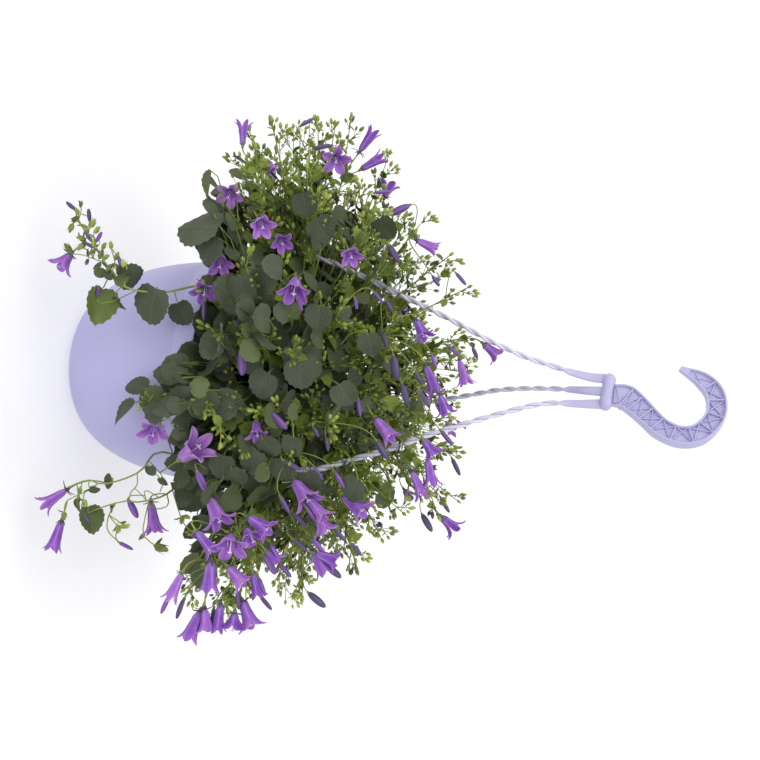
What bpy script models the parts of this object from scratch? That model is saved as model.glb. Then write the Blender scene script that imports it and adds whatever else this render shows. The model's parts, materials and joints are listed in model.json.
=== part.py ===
import math
import random

import bmesh
import bpy
from mathutils import Matrix, Vector
from mathutils.bvhtree import BVHTree

# A campanula in bloom in a lilac plastic pot, hung by three twisted plastic strands from a
# ribbed hook. Lengths are metres. The pieces are modelled with the pot standing on z = 0
# and its axis at x = y = 0. An empty then hangs them all from the seat in the hook's bend,
# which is the part's origin.

# Driving sizes
POT_RIM_RADIUS = 0.125
POT_HEIGHT = 0.165
POT_BASE_RADIUS = 0.050
POT_WALL = 0.002
POT_SIDES = 32
WALL_STEPS = 4
BAND_HEIGHT = 0.023
BAND_STEP = 0.003
SOIL_TOP = 0.150
GAP = 0.0003
SEAT_HEIGHT = 0.6505
SEAT_SIDEWAYS = 0.0102
COLLAR_SEAM_HEIGHT = 0.563
HOOK_THICKNESS = 0.013

# The photograph's viewpoint, which places sprays and blooms by the pixel where they show.
# The picture is 760 pixels square and lies on its side: the object's up is the picture's
# right, turned a little further by PICTURE_ROLL.
PICTURE_MIDDLE = 380.0
PICTURE_FOCAL = 900.0
PICTURE_ROLL = math.radians(2.86)
EYE_TURN = math.radians(30.0)
EYE_PITCH = math.radians(12.0)
EYE_DISTANCE = 0.925
EYE_HEIGHT = 0.520

CROWN = Vector((0.0, 0.0, SOIL_TOP))
TOWARDS_EYE = Vector((math.sin(EYE_TURN), -math.cos(EYE_TURN), 0.0))
EYE_RIGHT = Vector((math.cos(EYE_TURN), math.sin(EYE_TURN), 0.0))
UP = Vector((0.0, 0.0, 1.0))
# Steps round and up that spread points evenly over a dome, however many there are.
TURN_STEP = 2.0 * math.pi * 0.7548776662
RISE_STEP = 0.5698402910

# The crown is the dense middle of the plant, which leaves and stems stand out of.
CORE_RADIUS = 0.088
CORE_HALF_HEIGHT = 0.055
CORE_ROUGHNESS = 0.16
CORE_MIDDLE = Vector((0.0, 0.0, SOIL_TOP + 0.003 + CORE_HALF_HEIGHT))
FOOT_RADIUS = 0.0357
FOOT_DEPTH = 0.0137
HOLE_DEPTH = FOOT_DEPTH + GAP

RIM_LEAF_COUNT = 18
DOME_LEAF_COUNT = 34
LOWEST_LEAF = 0.0
LOWEST_LEAF_BASE = 0.178
LEAF_THICKNESS = 0.0007
STALK_HALF_WIDTH = 0.0008
# Roots are this thin, to end inside the stem that they branch off from.
ROOT_HALF_WIDTH = 0.0004
# A shorter stalk than this is straight.
SHORT_STALK = 0.030
BACK_SPRAY_COUNT = 11
BACK_BLOOM_COUNT = 12
BACK_BUD_COUNT = 8
STALKS_ON_FRONT_SPRAY = 3
STALKS_ON_BACK_SPRAY = 2
STALKS_ON_TRAILER = 4
# What lies behind the crown by this much, seen from the viewer, is spread by rule.
BEHIND = -0.15

# Outline of the hook's middle line, up from the collar's seam and sideways, with the width
# of the plate there, in millimetres.
HOOK_LINE = (
    (-3.0, 0.0, 21.0),
    (9.0, 1.3, 22.0),
    (14.2, 4.9, 19.5),
    (23.6, 15.3, 18.0),
    (33.0, 25.6, 17.0),
    (43.9, 35.9, 16.5),
    (60.4, 42.5, 16.5),
    (77.8, 41.4, 17.0),
    (91.0, 29.4, 17.0),
    (96.2, 14.2, 17.0),
    (94.3, -4.4, 16.0),
    (82.0, -20.2, 13.0),
    (62.3, -31.0, 3.0),
)
HOOK_SIDEWAYS = 4.5
HOOK_STEPS = 2
# Shares of the hook's line where the ribs across it stand.
HOOK_RIBS = (0.13, 0.215, 0.30, 0.385, 0.47, 0.55, 0.63, 0.71, 0.79, 0.87)

# Routes of the three strands from the rim to the collar: (x, y, z) in millimetres.
STRAND_ROUTES = {
    "strand_left": (
        (-89.7, -89.7, 167), (-92.6, -92.6, 200), (-92.4, -92.4, 235), (-87.0, -87.0, 272),
        (-75.0, -75.0, 312), (-57.0, -57.0, 368), (-44.8, -44.8, 405), (-34.6, -34.6, 433),
        (-27.6, -27.6, 455), (-21.6, -21.2, 477), (-18.4, -14.4, 499), (-15.8, -7.0, 520),
        (-14.4, -1.5, 540), (-14.4, 0.0, 551),
    ),
    "strand_right": (
        (122.6, -32.8, 167), (126.6, -33.9, 200), (126.2, -33.8, 235), (121.0, -32.4, 285),
        (108.0, -29.0, 314), (89.0, -23.8, 354), (73.4, -19.7, 379), (59.9, -16.0, 406),
        (50.2, -13.5, 426), (40.6, -10.8, 446), (31.9, -8.4, 465), (22.5, -5.0, 487),
        (17.4, -1.8, 507), (16.2, -0.4, 528), (15.0, 0.0, 549),
    ),
    "strand_back": (
        (-32.9, 122.7, 167), (-33.9, 126.6, 200), (-33.8, 126.2, 235), (-31.6, 118.0, 285),
        (-27.0, 103.0, 325), (-22.6, 85.1, 361), (-19.6, 67.2, 390), (-19.0, 54.9, 415),
        (-18.2, 41.5, 441), (-16.1, 32.3, 463), (-12.4, 22.6, 485), (-6.4, 11.0, 513),
        (-1.4, 3.0, 535), (0.2, 0.3, 550),
    ),
}
STRAND_HALF_WIDTH = 0.0022
STRAND_HALF_THICKNESS = 0.0014
STRAND_TWIST_PITCH = 0.050
STRAND_POINTS_PER_TURN = 5
STRAND_ROOT_SWELL = 0.9
STRAND_ROOT_LENGTH = 0.045
CLIP_WIDTH = 0.011

# Blooms that show in the photograph: pixel of the bloom's middle, distance from the crown,
# the way the mouth points in the picture (degrees, 0 to the right, 90 down), how far it
# turns to the viewer (degrees), its width in millimetres, and its form.
BLOOMS = (
    (243, 133, 0.275, -88, 0, 24, "bell"),
    (229, 196, 0.215, 100, 50, 30, "star"),
    (262, 226, 0.225, 60, 45, 32, "star"),
    (282, 243, 0.205, 60, 50, 26, "star"),
    (220, 265, 0.185, 90, 45, 32, "star"),
    (204, 293, 0.170, 85, 45, 30, "star"),
    (294, 291, 0.225, 92, 35, 38, "star"),
    (336, 161, 0.265, 80, 55, 32, "star"),
    (367, 141, 0.285, -55, 0, 30, "bell"),
    (372, 163, 0.275, 150, 5, 26, "bell"),
    (427, 245, 0.285, 25, 0, 28, "bell"),
    (351, 256, 0.240, 70, 50, 28, "star"),
    (421, 330, 0.265, 65, 20, 27, "bell"),
    (431, 380, 0.265, 70, 10, 30, "bell"),
    (463, 373, 0.285, 75, 5, 26, "bell"),
    (492, 351, 0.292, 40, 0, 28, "bell"),
    (384, 429, 0.245, 50, 25, 32, "bell"),
    (444, 406, 0.285, 70, 0, 26, "bell"),
    (430, 449, 0.280, 55, 5, 26, "bell"),
    (430, 473, 0.285, 80, 0, 28, "bell"),
    (418, 485, 0.281, 65, 0, 28, "bell"),
    (450, 525, 0.300, 45, 0, 28, "bell"),
    (355, 505, 0.260, 35, 20, 34, "bell"),
    (317, 509, 0.250, 45, 20, 28, "bell"),
    (325, 530, 0.264, 60, 5, 32, "star"),
    (328, 558, 0.280, 20, 5, 28, "bell"),
    (303, 493, 0.236, 50, 30, 36, "bell"),
    (257, 430, 0.200, 80, 35, 26, "bell"),
    (216, 513, 0.235, 60, 25, 36, "bell"),
    (260, 525, 0.255, 30, 15, 30, "bell"),
    (230, 549, 0.265, 85, 45, 38, "star"),
    (252, 539, 0.261, 55, 30, 30, "star"),
    (206, 543, 0.258, 50, 5, 28, "bell"),
    (210, 576, 0.275, 92, 5, 32, "bell"),
    (176, 586, 0.282, 115, 0, 26, "bell"),
    (237, 577, 0.278, 45, 10, 28, "bell"),
    (256, 585, 0.282, 75, 0, 26, "bell"),
    (194, 626, 0.300, 100, 5, 32, "bell"),
    (206, 622, 0.300, 90, 0, 26, "bell"),
    (221, 617, 0.298, 78, 0, 26, "bell"),
    (233, 629, 0.302, 92, 20, 34, "star"),
    (248, 616, 0.298, 80, 10, 34, "bell"),
    (274, 560, 0.270, 50, 0, 28, "star"),
    (319, 562, 0.276, 60, 5, 30, "bell"),
    (153, 433, 0.170, 85, 45, 34, "star"),
    (192, 451, 0.185, -32, 35, 44, "bell"),
)

# Closed violet buds and half-open blooms: pixel, distance from the crown, the way the tip
# points, and its length in millimetres.
BUDS = (
    (242, 362, 0.200, 90, 24), (322, 147, 0.275, 170, 18), (399, 210, 0.275, 155, 22),
    (394, 254, 0.255, 60, 19), (395, 368, 0.245, 82, 23), (385, 341, 0.240, 70, 16),
    (204, 311, 0.172, 90, 18), (359, 407, 0.235, 80, 18), (447, 438, 0.285, 50, 18),
    (456, 467, 0.290, 65, 18), (427, 523, 0.290, 60, 19), (333, 571, 0.285, 40, 19),
    (317, 600, 0.295, 40, 20), (356, 549, 0.280, 50, 15), (180, 609, 0.290, 110, 18),
    (266, 603, 0.290, 50, 16), (279, 421, 0.215, 45, 20), (292, 465, 0.225, 30, 18),
    (202, 482, 0.215, 65, 20), (461, 279, 0.285, 50, 16), (454, 351, 0.280, 40, 15),
    (383, 192, 0.270, -5, 16), (307, 122, 0.285, -30, 15), (378, 297, 0.245, 50, 14),
)

# Tips of the green sprays that stand out in the photograph: pixel and distance from the
# crown.
SPRAY_TIPS = (
    (250, 158, 0.255), (272, 122, 0.285), (318, 122, 0.285), (351, 118, 0.295),
    (389, 155, 0.285), (427, 216, 0.285), (449, 256, 0.290), (467, 288, 0.290),
    (472, 336, 0.285), (447, 422, 0.285), (455, 456, 0.290), (440, 512, 0.295),
    (406, 516, 0.285), (381, 538, 0.285), (357, 570, 0.290), (302, 597, 0.290),
    (236, 603, 0.290), (186, 588, 0.275), (226, 205, 0.215), (205, 285, 0.170),
    (240, 335, 0.200), (290, 350, 0.225), (262, 408, 0.210), (290, 462, 0.225),
    (340, 310, 0.235), (395, 330, 0.250), (330, 430, 0.230),
)

# Stems that trail over the rim: pixels along each, with how far towards the viewer it lies,
# in metres.
TRAILING_STEMS = (
    ((196, 300, 0.090), (165, 292, 0.142), (135, 282, 0.165), (108, 255, 0.168), (88, 226, 0.160),
     (74, 206, 0.150)),
    ((182, 440, 0.085), (160, 452, 0.130), (140, 468, 0.158), (113, 482, 0.166), (92, 482, 0.160),
     (79, 486, 0.155)),
    ((190, 478, 0.070), (168, 492, 0.120), (142, 498, 0.150), (112, 507, 0.158), (88, 509, 0.155),
     (68, 514, 0.150)),
)
TRAILING_ROOT_HEIGHT = 0.186
# Blooms on the trailing stems: pixel, how far towards the viewer, mouth angle, turn to the
# viewer, width in millimetres, form.
TRAILING_BLOOMS = (
    (62, 264, 0.150, 132, 10, 32, "bell"),
    (54, 499, 0.150, 142, 5, 28, "bell"),
    (57, 535, 0.150, 105, 5, 32, "bell"),
    (152, 518, 0.140, 78, 10, 28, "bell"),
)
TRAILING_BUDS = (
    (132, 510, 0.150, 70, 17), (127, 546, 0.140, 30, 15), (162, 550, 0.130, 20, 14),
    (90, 217, 0.160, 80, 12), (87, 517, 0.155, 70, 15),
)

LILAC = (0.46, 0.44, 0.70, 1.0)
SOIL_BROWN = (0.045, 0.028, 0.018, 1.0)
LEAF_GREEN = (0.060, 0.105, 0.040, 1.0)
PETAL_VIOLET = (0.235, 0.070, 0.500, 1.0)


def clear_scene():
    for thing in list(bpy.data.objects):
        bpy.data.objects.remove(thing)


def finish(name, colour, roughness):
    material = bpy.data.materials.new(name)
    material.use_nodes = True
    surface = material.node_tree.nodes["Principled BSDF"]
    surface.inputs["Base Color"].default_value = colour
    surface.inputs["Roughness"].default_value = roughness
    surface.inputs["Metallic"].default_value = 0.0
    material.diffuse_color = colour
    return material


def draw(*words):
    """A random stream of its own for each item, so that no item shifts the next."""
    return random.Random("-".join(str(word) for word in words))


def object_of(mesh_maker, name):
    """An object whose mesh comes from a bmesh, with its faces pointing out."""
    bmesh.ops.recalc_face_normals(mesh_maker, faces=mesh_maker.faces)
    mesh = bpy.data.meshes.new(name)
    mesh_maker.to_mesh(mesh)
    mesh_maker.free()
    return bpy.data.objects.new(name, mesh)


def mesh_of_curve(curve_object, name):
    """The curve as a mesh with its caps welded, so that a Boolean can take it."""
    bpy.context.scene.collection.objects.link(curve_object)
    graph = bpy.context.evaluated_depsgraph_get()
    mesh = bpy.data.meshes.new_from_object(curve_object.evaluated_get(graph))
    bpy.data.objects.remove(curve_object)
    maker = bmesh.new()
    maker.from_mesh(mesh)
    bmesh.ops.remove_doubles(maker, verts=maker.verts, dist=0.00001)
    return object_of(maker, name)


def applied(target, operation, others, solver="EXACT"):
    """The target after a Boolean with all the others, which are then removed."""
    heap = bpy.data.collections.new(target.name + "_others")
    bpy.context.scene.collection.children.link(heap)
    bpy.context.scene.collection.objects.link(target)
    for other in others:
        heap.objects.link(other)
    join = target.modifiers.new(operation.lower(), "BOOLEAN")
    join.operation = operation
    join.operand_type = "COLLECTION"
    join.collection = heap
    join.solver = solver
    graph = bpy.context.evaluated_depsgraph_get()
    mesh = bpy.data.meshes.new_from_object(target.evaluated_get(graph))
    target.modifiers.clear()
    target.data = mesh
    bpy.context.scene.collection.objects.unlink(target)
    for other in others:
        bpy.data.objects.remove(other)
    bpy.data.collections.remove(heap)
    return target


def keep_main_body(thing):
    """Drops loose scraps and fills sealed hollows: only the largest connected body stays."""
    maker = bmesh.new()
    maker.from_mesh(thing.data)
    bmesh.ops.remove_doubles(maker, verts=maker.verts, dist=0.0000004)
    maker.verts.ensure_lookup_table()
    unseen = set(maker.verts)
    bodies = []
    while unseen:
        edge_of_search = [unseen.pop()]
        body = list(edge_of_search)
        while edge_of_search:
            vertex = edge_of_search.pop()
            for link in vertex.link_edges:
                neighbour = link.other_vert(vertex)
                if neighbour in unseen:
                    unseen.remove(neighbour)
                    edge_of_search.append(neighbour)
                    body.append(neighbour)
        bodies.append(body)
    bodies.sort(key=len)
    scraps = [vertex for body in bodies[:-1] for vertex in body]
    bmesh.ops.delete(maker, geom=scraps, context="VERTS")
    maker.to_mesh(thing.data)
    maker.free()
    return [len(body) for body in bodies[:-1]]


def ray_of(px, py):
    """Direction from the eye through a pixel of the photograph."""
    dx = px - PICTURE_MIDDLE
    dy = py - PICTURE_MIDDLE
    upward = (dx * math.cos(PICTURE_ROLL) + dy * math.sin(PICTURE_ROLL)) / PICTURE_FOCAL
    sideways = (dy * math.cos(PICTURE_ROLL) - dx * math.sin(PICTURE_ROLL)) / PICTURE_FOCAL
    ahead = -TOWARDS_EYE * math.cos(EYE_PITCH) - UP * math.sin(EYE_PITCH)
    above = -TOWARDS_EYE * math.sin(EYE_PITCH) + UP * math.cos(EYE_PITCH)
    return (ahead + EYE_RIGHT * sideways + above * upward).normalized()


def picture_directions():
    """The picture's right, its down and the way back to the eye, as directions in space."""
    above = -TOWARDS_EYE * math.sin(EYE_PITCH) + UP * math.cos(EYE_PITCH)
    right = above * math.cos(PICTURE_ROLL) - EYE_RIGHT * math.sin(PICTURE_ROLL)
    down = above * math.sin(PICTURE_ROLL) + EYE_RIGHT * math.cos(PICTURE_ROLL)
    back = TOWARDS_EYE * math.cos(EYE_PITCH) + UP * math.sin(EYE_PITCH)
    return right, down, back


EYE = TOWARDS_EYE * EYE_DISTANCE + UP * EYE_HEIGHT


def point_on_dome(px, py, reach):
    """Where the line of sight meets the dome of that radius round the crown, or passes it."""
    ray = ray_of(px, py)
    to_crown = CROWN - EYE
    nearest = ray.dot(to_crown)
    miss = (to_crown - ray * nearest).length
    half_chord = math.sqrt(max(reach * reach - miss * miss, 0.0))
    return EYE + ray * (nearest - half_chord)


def point_in_front(px, py, towards):
    """Where the line of sight meets the upright plane that lies towards the viewer."""
    ray = ray_of(px, py)
    share = (towards - EYE.dot(TOWARDS_EYE)) / ray.dot(TOWARDS_EYE)
    return EYE + ray * share


def aimed(angle, turn):
    """A direction that points at this angle in the picture and turns to the viewer."""
    right, down, back = picture_directions()
    flat = right * math.cos(math.radians(angle)) + down * math.sin(math.radians(angle))
    return (flat * math.cos(math.radians(turn)) + back * math.sin(math.radians(turn))).normalized()


def dome_direction(index, lowest, highest, key):
    """Evenly spread directions over the dome between two heights, in degrees."""
    turn = index * TURN_STEP
    share = (0.5 + index * RISE_STEP) % 1.0
    low = math.sin(math.radians(lowest))
    high = math.sin(math.radians(highest))
    rise = low + (high - low) * share
    level = math.sqrt(1.0 - rise * rise)
    shift = draw(key, index).uniform(-0.12, 0.12)
    return Vector((level * math.sin(turn + shift), -level * math.cos(turn + shift), rise))


def core_point(direction, share=1.0):
    """A point on the crown's surface in this direction, or at that share of the way to it."""
    scaled = Vector((direction.x / CORE_RADIUS, direction.y / CORE_RADIUS, direction.z / CORE_HALF_HEIGHT))
    return CORE_MIDDLE + direction * (share / scaled.length)


def frame_on(axis, spin=0.0):
    """Two directions square to the axis, turned by the spin."""
    helper = Vector((1.0, 0.0, 0.0)) if abs(axis.x) < 0.8 else Vector((0.0, 1.0, 0.0))
    first = axis.cross(helper).normalized()
    first.rotate(Matrix.Rotation(spin, 3, axis))
    return first, axis.cross(first).normalized()


def curve_point(start, bend, end, share):
    rest = 1.0 - share
    return start * (rest * rest) + bend * (2.0 * rest * share) + end * (share * share)


def ring(maker, middle, axis, radius, sides, spin=0.0):
    first, second = frame_on(axis, spin)
    corners = []
    for side in range(sides):
        angle = 2.0 * math.pi * side / sides
        offset = first * math.cos(angle) + second * math.sin(angle)
        corners.append(maker.verts.new(middle + offset * radius))
    return corners


def skin(maker, low, high):
    """Faces between two rings. The high ring has as many corners, twice as many, or one."""
    count = len(low)
    for side in range(count):
        after = (side + 1) % count
        if len(high) == 1:
            maker.faces.new((low[side], low[after], high[0]))
        elif len(high) == count:
            maker.faces.new((low[side], low[after], high[after], high[side]))
        else:
            first, middle, last = high[2 * side], high[2 * side + 1], high[(2 * side + 2) % len(high)]
            maker.faces.new((low[side], middle, first))
            maker.faces.new((low[side], low[after], middle))
            maker.faces.new((low[after], last, middle))


def stem_object(name, points, radii, tip=None, sides=3):
    """A stem through the points, its ends closed flat, or with a point at its tip."""
    maker = bmesh.new()
    rings = []
    for index, point in enumerate(points):
        before = points[max(index - 1, 0)]
        after = points[min(index + 1, len(points) - 1)]
        rings.append(ring(maker, point, (after - before).normalized(), radii[index], sides))
    for low, high in zip(rings, rings[1:]):
        skin(maker, low, high)
    maker.faces.new(rings[0])
    if tip is None:
        maker.faces.new(rings[-1])
    else:
        skin(maker, rings[-1], [maker.verts.new(tip)])
    return object_of(maker, name)


def bud_object(name, root, bend, base, direction, length, width):
    """A thin stalk that ends in a closed bud, with a bend in it if it is a long one."""
    neck = [curve_point(root, bend, base, 0.55)] if bend else []
    belly = base + direction * (length * 0.45)
    points = [root] + neck + [base, belly]
    radii = [ROOT_HALF_WIDTH] + [0.0006] * (len(points) - 2) + [width / 2.0]
    return stem_object(name, points, radii, base + direction * length)


def leaf_object(name, root, base, direction, normal, length, width, key):
    """A round toothed leaf on its flat stalk: one outline, arched, with a wall all round."""
    across = direction.cross(normal).normalized()
    face_up = across.cross(direction).normalized()
    pick = draw("leaf outline", key)
    teeth = 9
    maker = bmesh.new()
    outline = []
    for tooth in range(teeth):
        angle = math.radians(-130.0 + 260.0 * tooth / (teeth - 1))
        reach = (0.78 if tooth % 2 else 1.0) * pick.uniform(0.94, 1.05)
        ahead = 0.44 + 0.56 * math.cos(angle) * reach
        aside = 0.5 * math.sin(angle) * reach
        droop = -0.10 * (abs(aside) * 2.0) ** 2 - 0.12 * ahead * ahead
        outline.append(
            base + direction * (ahead * length) + across * (aside * width) + face_up * (droop * length)
        )
    corners = [maker.verts.new(point) for point in outline]
    neck_left = maker.verts.new(base - across * STALK_HALF_WIDTH)
    neck_right = maker.verts.new(base + across * STALK_HALF_WIDTH)
    root_left = maker.verts.new(root - across * ROOT_HALF_WIDTH)
    root_right = maker.verts.new(root + across * ROOT_HALF_WIDTH)
    middle = maker.verts.new(base + direction * (0.45 * length) + face_up * (0.02 * length))
    loop = [neck_left] + corners + [neck_right]
    for first, second in zip(loop, loop[1:] + loop[:1]):
        maker.faces.new((first, second, middle))
    maker.faces.new((root_left, neck_left, neck_right, root_right))
    bmesh.ops.recalc_face_normals(maker, faces=maker.faces)
    bmesh.ops.solidify(maker, geom=list(maker.faces), thickness=LEAF_THICKNESS)
    bmesh.ops.triangulate(maker, faces=maker.faces)
    return object_of(maker, name)


def bloom_object(name, base, direction, width, form, spin):
    """A five-lobed bell: a tube that opens into five pointed lobes, with its throat sunk in."""
    star = form == "star"
    length = width * (0.72 if star else 0.92)
    tip_radius = width * (0.50 if star else 0.36)
    tip_height = length * (0.90 if star else 1.00)
    notch_radius = width * (0.20 if star else 0.19)
    notch_height = length * 0.60
    neck_radius = width * 0.15
    neck_height = length * 0.40
    wall = 0.0008
    first, second = frame_on(direction, spin)
    maker = bmesh.new()

    def corner(radius, height, angle):
        offset = first * math.cos(angle) + second * math.sin(angle)
        return maker.verts.new(base + offset * radius + direction * height)

    fifth = 2.0 * math.pi / 5.0
    neck = [corner(neck_radius, neck_height, fifth * lobe) for lobe in range(5)]
    outside, inside = [], []
    for lobe in range(5):
        angle = fifth * lobe
        for radius, height, turned in (
            (tip_radius, tip_height, angle), (notch_radius, notch_height, angle + fifth / 2.0)
        ):
            slope = Vector((radius - neck_radius, height - neck_height)).normalized()
            outside.append(corner(radius, height, turned))
            inside.append(corner(radius - slope.y * wall, height + slope.x * wall, turned))
    skin(maker, neck, [corner(0.0, 0.0, 0.0)])
    skin(maker, neck, outside)
    skin(maker, outside, inside)
    skin(maker, inside, [corner(0.0, neck_height + 0.08 * length, 0.0)])
    bmesh.ops.triangulate(maker, faces=maker.faces)
    return object_of(maker, name)


def tree_of(*things):
    points, faces = [], []
    for thing in things:
        start = len(points)
        points += [vertex.co.copy() for vertex in thing.data.vertices]
        faces += [[start + corner for corner in face.vertices] for face in thing.data.polygons]
    return BVHTree.FromPolygons(points, faces)


def evaluated_copy(thing):
    """A plain mesh of what the object's modifiers make."""
    graph = bpy.context.evaluated_depsgraph_get()
    mesh = bpy.data.meshes.new_from_object(thing.evaluated_get(graph))
    return bpy.data.objects.new(thing.name + "_copy", mesh)


def smooth_route(points, spacing):
    """Points at an even spacing along a smooth curve through the given ones."""
    ends = [points[0] * 2.0 - points[1]] + list(points) + [points[-1] * 2.0 - points[-2]]
    dense = []
    for index in range(1, len(ends) - 2):
        before, start, end, after = ends[index - 1:index + 3]
        for step in range(24):
            t = step / 24.0
            dense.append(
                0.5 * (2.0 * start + (end - before) * t + (2.0 * before - 5.0 * start + 4.0 * end - after) * t * t
                + (3.0 * start - before - 3.0 * end + after) * t * t * t)
            )
    dense.append(points[-1])
    lengths = [0.0]
    for first, second in zip(dense, dense[1:]):
        lengths.append(lengths[-1] + (second - first).length)
    count = max(round(lengths[-1] / spacing), 2)
    route = []
    place = 0
    for step in range(count + 1):
        wanted = lengths[-1] * step / count
        while place < len(lengths) - 2 and lengths[place + 1] < wanted:
            place += 1
        span = lengths[place + 1] - lengths[place]
        route.append(dense[place].lerp(dense[place + 1], (wanted - lengths[place]) / span))
    return route, lengths[-1]


def turned(name, profile, segments):
    """A turned body: the profile goes up the inside, over the top and down the outside."""
    maker = bmesh.new()
    corners = [maker.verts.new((radius, 0.0, height)) for radius, height in profile]
    for low, high in zip(corners, corners[1:]):
        maker.edges.new((low, high))
    mesh = bpy.data.meshes.new(name)
    maker.to_mesh(mesh)
    maker.free()
    body = bpy.data.objects.new(name, mesh)
    screw = body.modifiers.new("turn", "SCREW")
    screw.steps = segments
    screw.render_steps = segments
    screw.use_merge_vertices = True
    screw.merge_threshold = 0.0001
    return body


def wall_line(inset, steps):
    """The bowl's wall from its base to the band: a quarter of an ellipse."""
    band_foot = POT_HEIGHT - BAND_HEIGHT
    wall_radius = POT_RIM_RADIUS - 2.0 * BAND_STEP - inset
    line = []
    for step in range(steps + 1):
        angle = 0.5 * math.pi * step / steps
        line.append((
            POT_BASE_RADIUS + (wall_radius - POT_BASE_RADIUS) * math.sin(angle),
            inset + (band_foot - inset) * (1.0 - math.cos(angle)),
        ))
    return line


def make_pot():
    band_foot = POT_HEIGHT - BAND_HEIGHT
    outside = wall_line(0.0, WALL_STEPS + 1)
    outside += [
        (POT_RIM_RADIUS - BAND_STEP, band_foot + 0.0008),
        (POT_RIM_RADIUS, POT_HEIGHT - 0.0012),
        (POT_RIM_RADIUS - 0.0008, POT_HEIGHT),
    ]
    inside = wall_line(POT_WALL, WALL_STEPS)
    inside += [
        (POT_RIM_RADIUS - BAND_STEP - POT_WALL, band_foot + 0.0025),
        (POT_RIM_RADIUS - POT_WALL, POT_HEIGHT),
    ]
    profile = [(0.0, POT_WALL)] + inside + outside[::-1] + [(0.0, 0.0)]
    return turned("pot", profile, POT_SIDES)


def make_soil():
    inset = POT_WALL + GAP
    side = wall_line(inset, WALL_STEPS)
    band_foot = POT_HEIGHT - BAND_HEIGHT
    edge = POT_RIM_RADIUS - BAND_STEP - inset - 0.0004
    profile = [(0.0, SOIL_TOP - HOLE_DEPTH), (FOOT_RADIUS + GAP, SOIL_TOP - HOLE_DEPTH)]
    profile += [(FOOT_RADIUS + GAP, SOIL_TOP), (edge, SOIL_TOP - 0.003)]
    profile += [(edge, band_foot + 0.0032)] + side[::-1] + [(0.0, inset)]
    return turned("soil", profile, POT_SIDES)


def hook_station(share):
    """Middle, half width and square direction of the hook's plate at a share of its line."""
    points = [Vector((side + HOOK_SIDEWAYS, up, width)) * 0.001 for up, side, width in HOOK_LINE]
    ends = [points[0] * 2.0 - points[1]] + points + [points[-1] * 2.0 - points[-2]]
    place = min(share, 0.99999) * (len(points) - 1)
    index = int(place) + 1
    t = place - int(place)
    before, start, end, after = ends[index - 1:index + 3]
    spot = 0.5 * (2.0 * start + (end - before) * t + (2.0 * before - 5.0 * start + 4.0 * end - after) * t * t
                  + (3.0 * start - before - 3.0 * end + after) * t ** 3)
    slope = 0.5 * ((end - before) + (2.0 * before - 5.0 * start + 4.0 * end - after) * (2.0 * t)
                   + (3.0 * start - before - 3.0 * end + after) * (3.0 * t * t))
    square = Vector((slope.y, -slope.x)).normalized()
    return Vector((spot.x, spot.y)), spot.z / 2.0, square


def hook_outline(inset, first_share, last_share):
    """The plate's outline, drawn in by the inset, down one side and back up the other."""
    steps = round((last_share - first_share) * HOOK_STEPS * (len(HOOK_LINE) - 1))
    left, right = [], []
    for step in range(steps + 1):
        middle, half, square = hook_station(first_share + (last_share - first_share) * step / steps)
        left.append(middle - square * (half - inset))
        right.append(middle + square * (half - inset))
    return left + right[::-1]


def hook_plate(name, outline, thickness, middle_y):
    curve = bpy.data.curves.new(name, "CURVE")
    curve.dimensions = "2D"
    curve.fill_mode = "BOTH"
    curve.extrude = thickness / 2.0
    spline = curve.splines.new("POLY")
    spline.points.add(len(outline) - 1)
    for point, place in zip(spline.points, outline):
        point.co = (place.x, place.y, 0.0, 1.0)
    spline.use_cyclic_u = True
    plate = mesh_of_curve(bpy.data.objects.new(name, curve), name)
    plate.data.transform(Matrix.Rotation(math.pi / 2.0, 4, "X"))
    plate.data.transform(Matrix.Translation((0.0, middle_y, COLLAR_SEAM_HEIGHT)))
    return plate


def hook_bar(name, start, end, width, depth):
    """A straight rib between two places of the plate."""
    maker = bmesh.new()
    bmesh.ops.create_cube(maker, size=1.0)
    way = end - start
    bmesh.ops.scale(maker, verts=maker.verts, vec=(way.length, depth, width))
    angle = math.atan2(way.y, way.x)
    bmesh.ops.rotate(maker, verts=maker.verts, matrix=Matrix.Rotation(-angle, 3, "Y"))
    middle = (start + end) / 2.0
    bmesh.ops.translate(maker, verts=maker.verts, vec=(middle.x, 0.0, middle.y + COLLAR_SEAM_HEIGHT))
    return object_of(maker, name)


def make_collar():
    """The rounded bar under the seam, which the strands leave side by side."""
    maker = bmesh.new()
    bmesh.ops.create_cube(maker, size=1.0)
    bmesh.ops.scale(maker, verts=maker.verts, vec=(0.0425, 0.0145, 0.0150))
    bmesh.ops.bevel(
        maker, geom=list(maker.edges), offset=0.0042, segments=1, affect="EDGES", profile=0.5
    )
    bmesh.ops.rotate(maker, verts=maker.verts, matrix=Matrix.Rotation(math.radians(7.0), 3, "Y"))
    bmesh.ops.translate(maker, verts=maker.verts, vec=(0.0006, 0.0, COLLAR_SEAM_HEIGHT - 0.0040))
    return object_of(maker, "collar")


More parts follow.
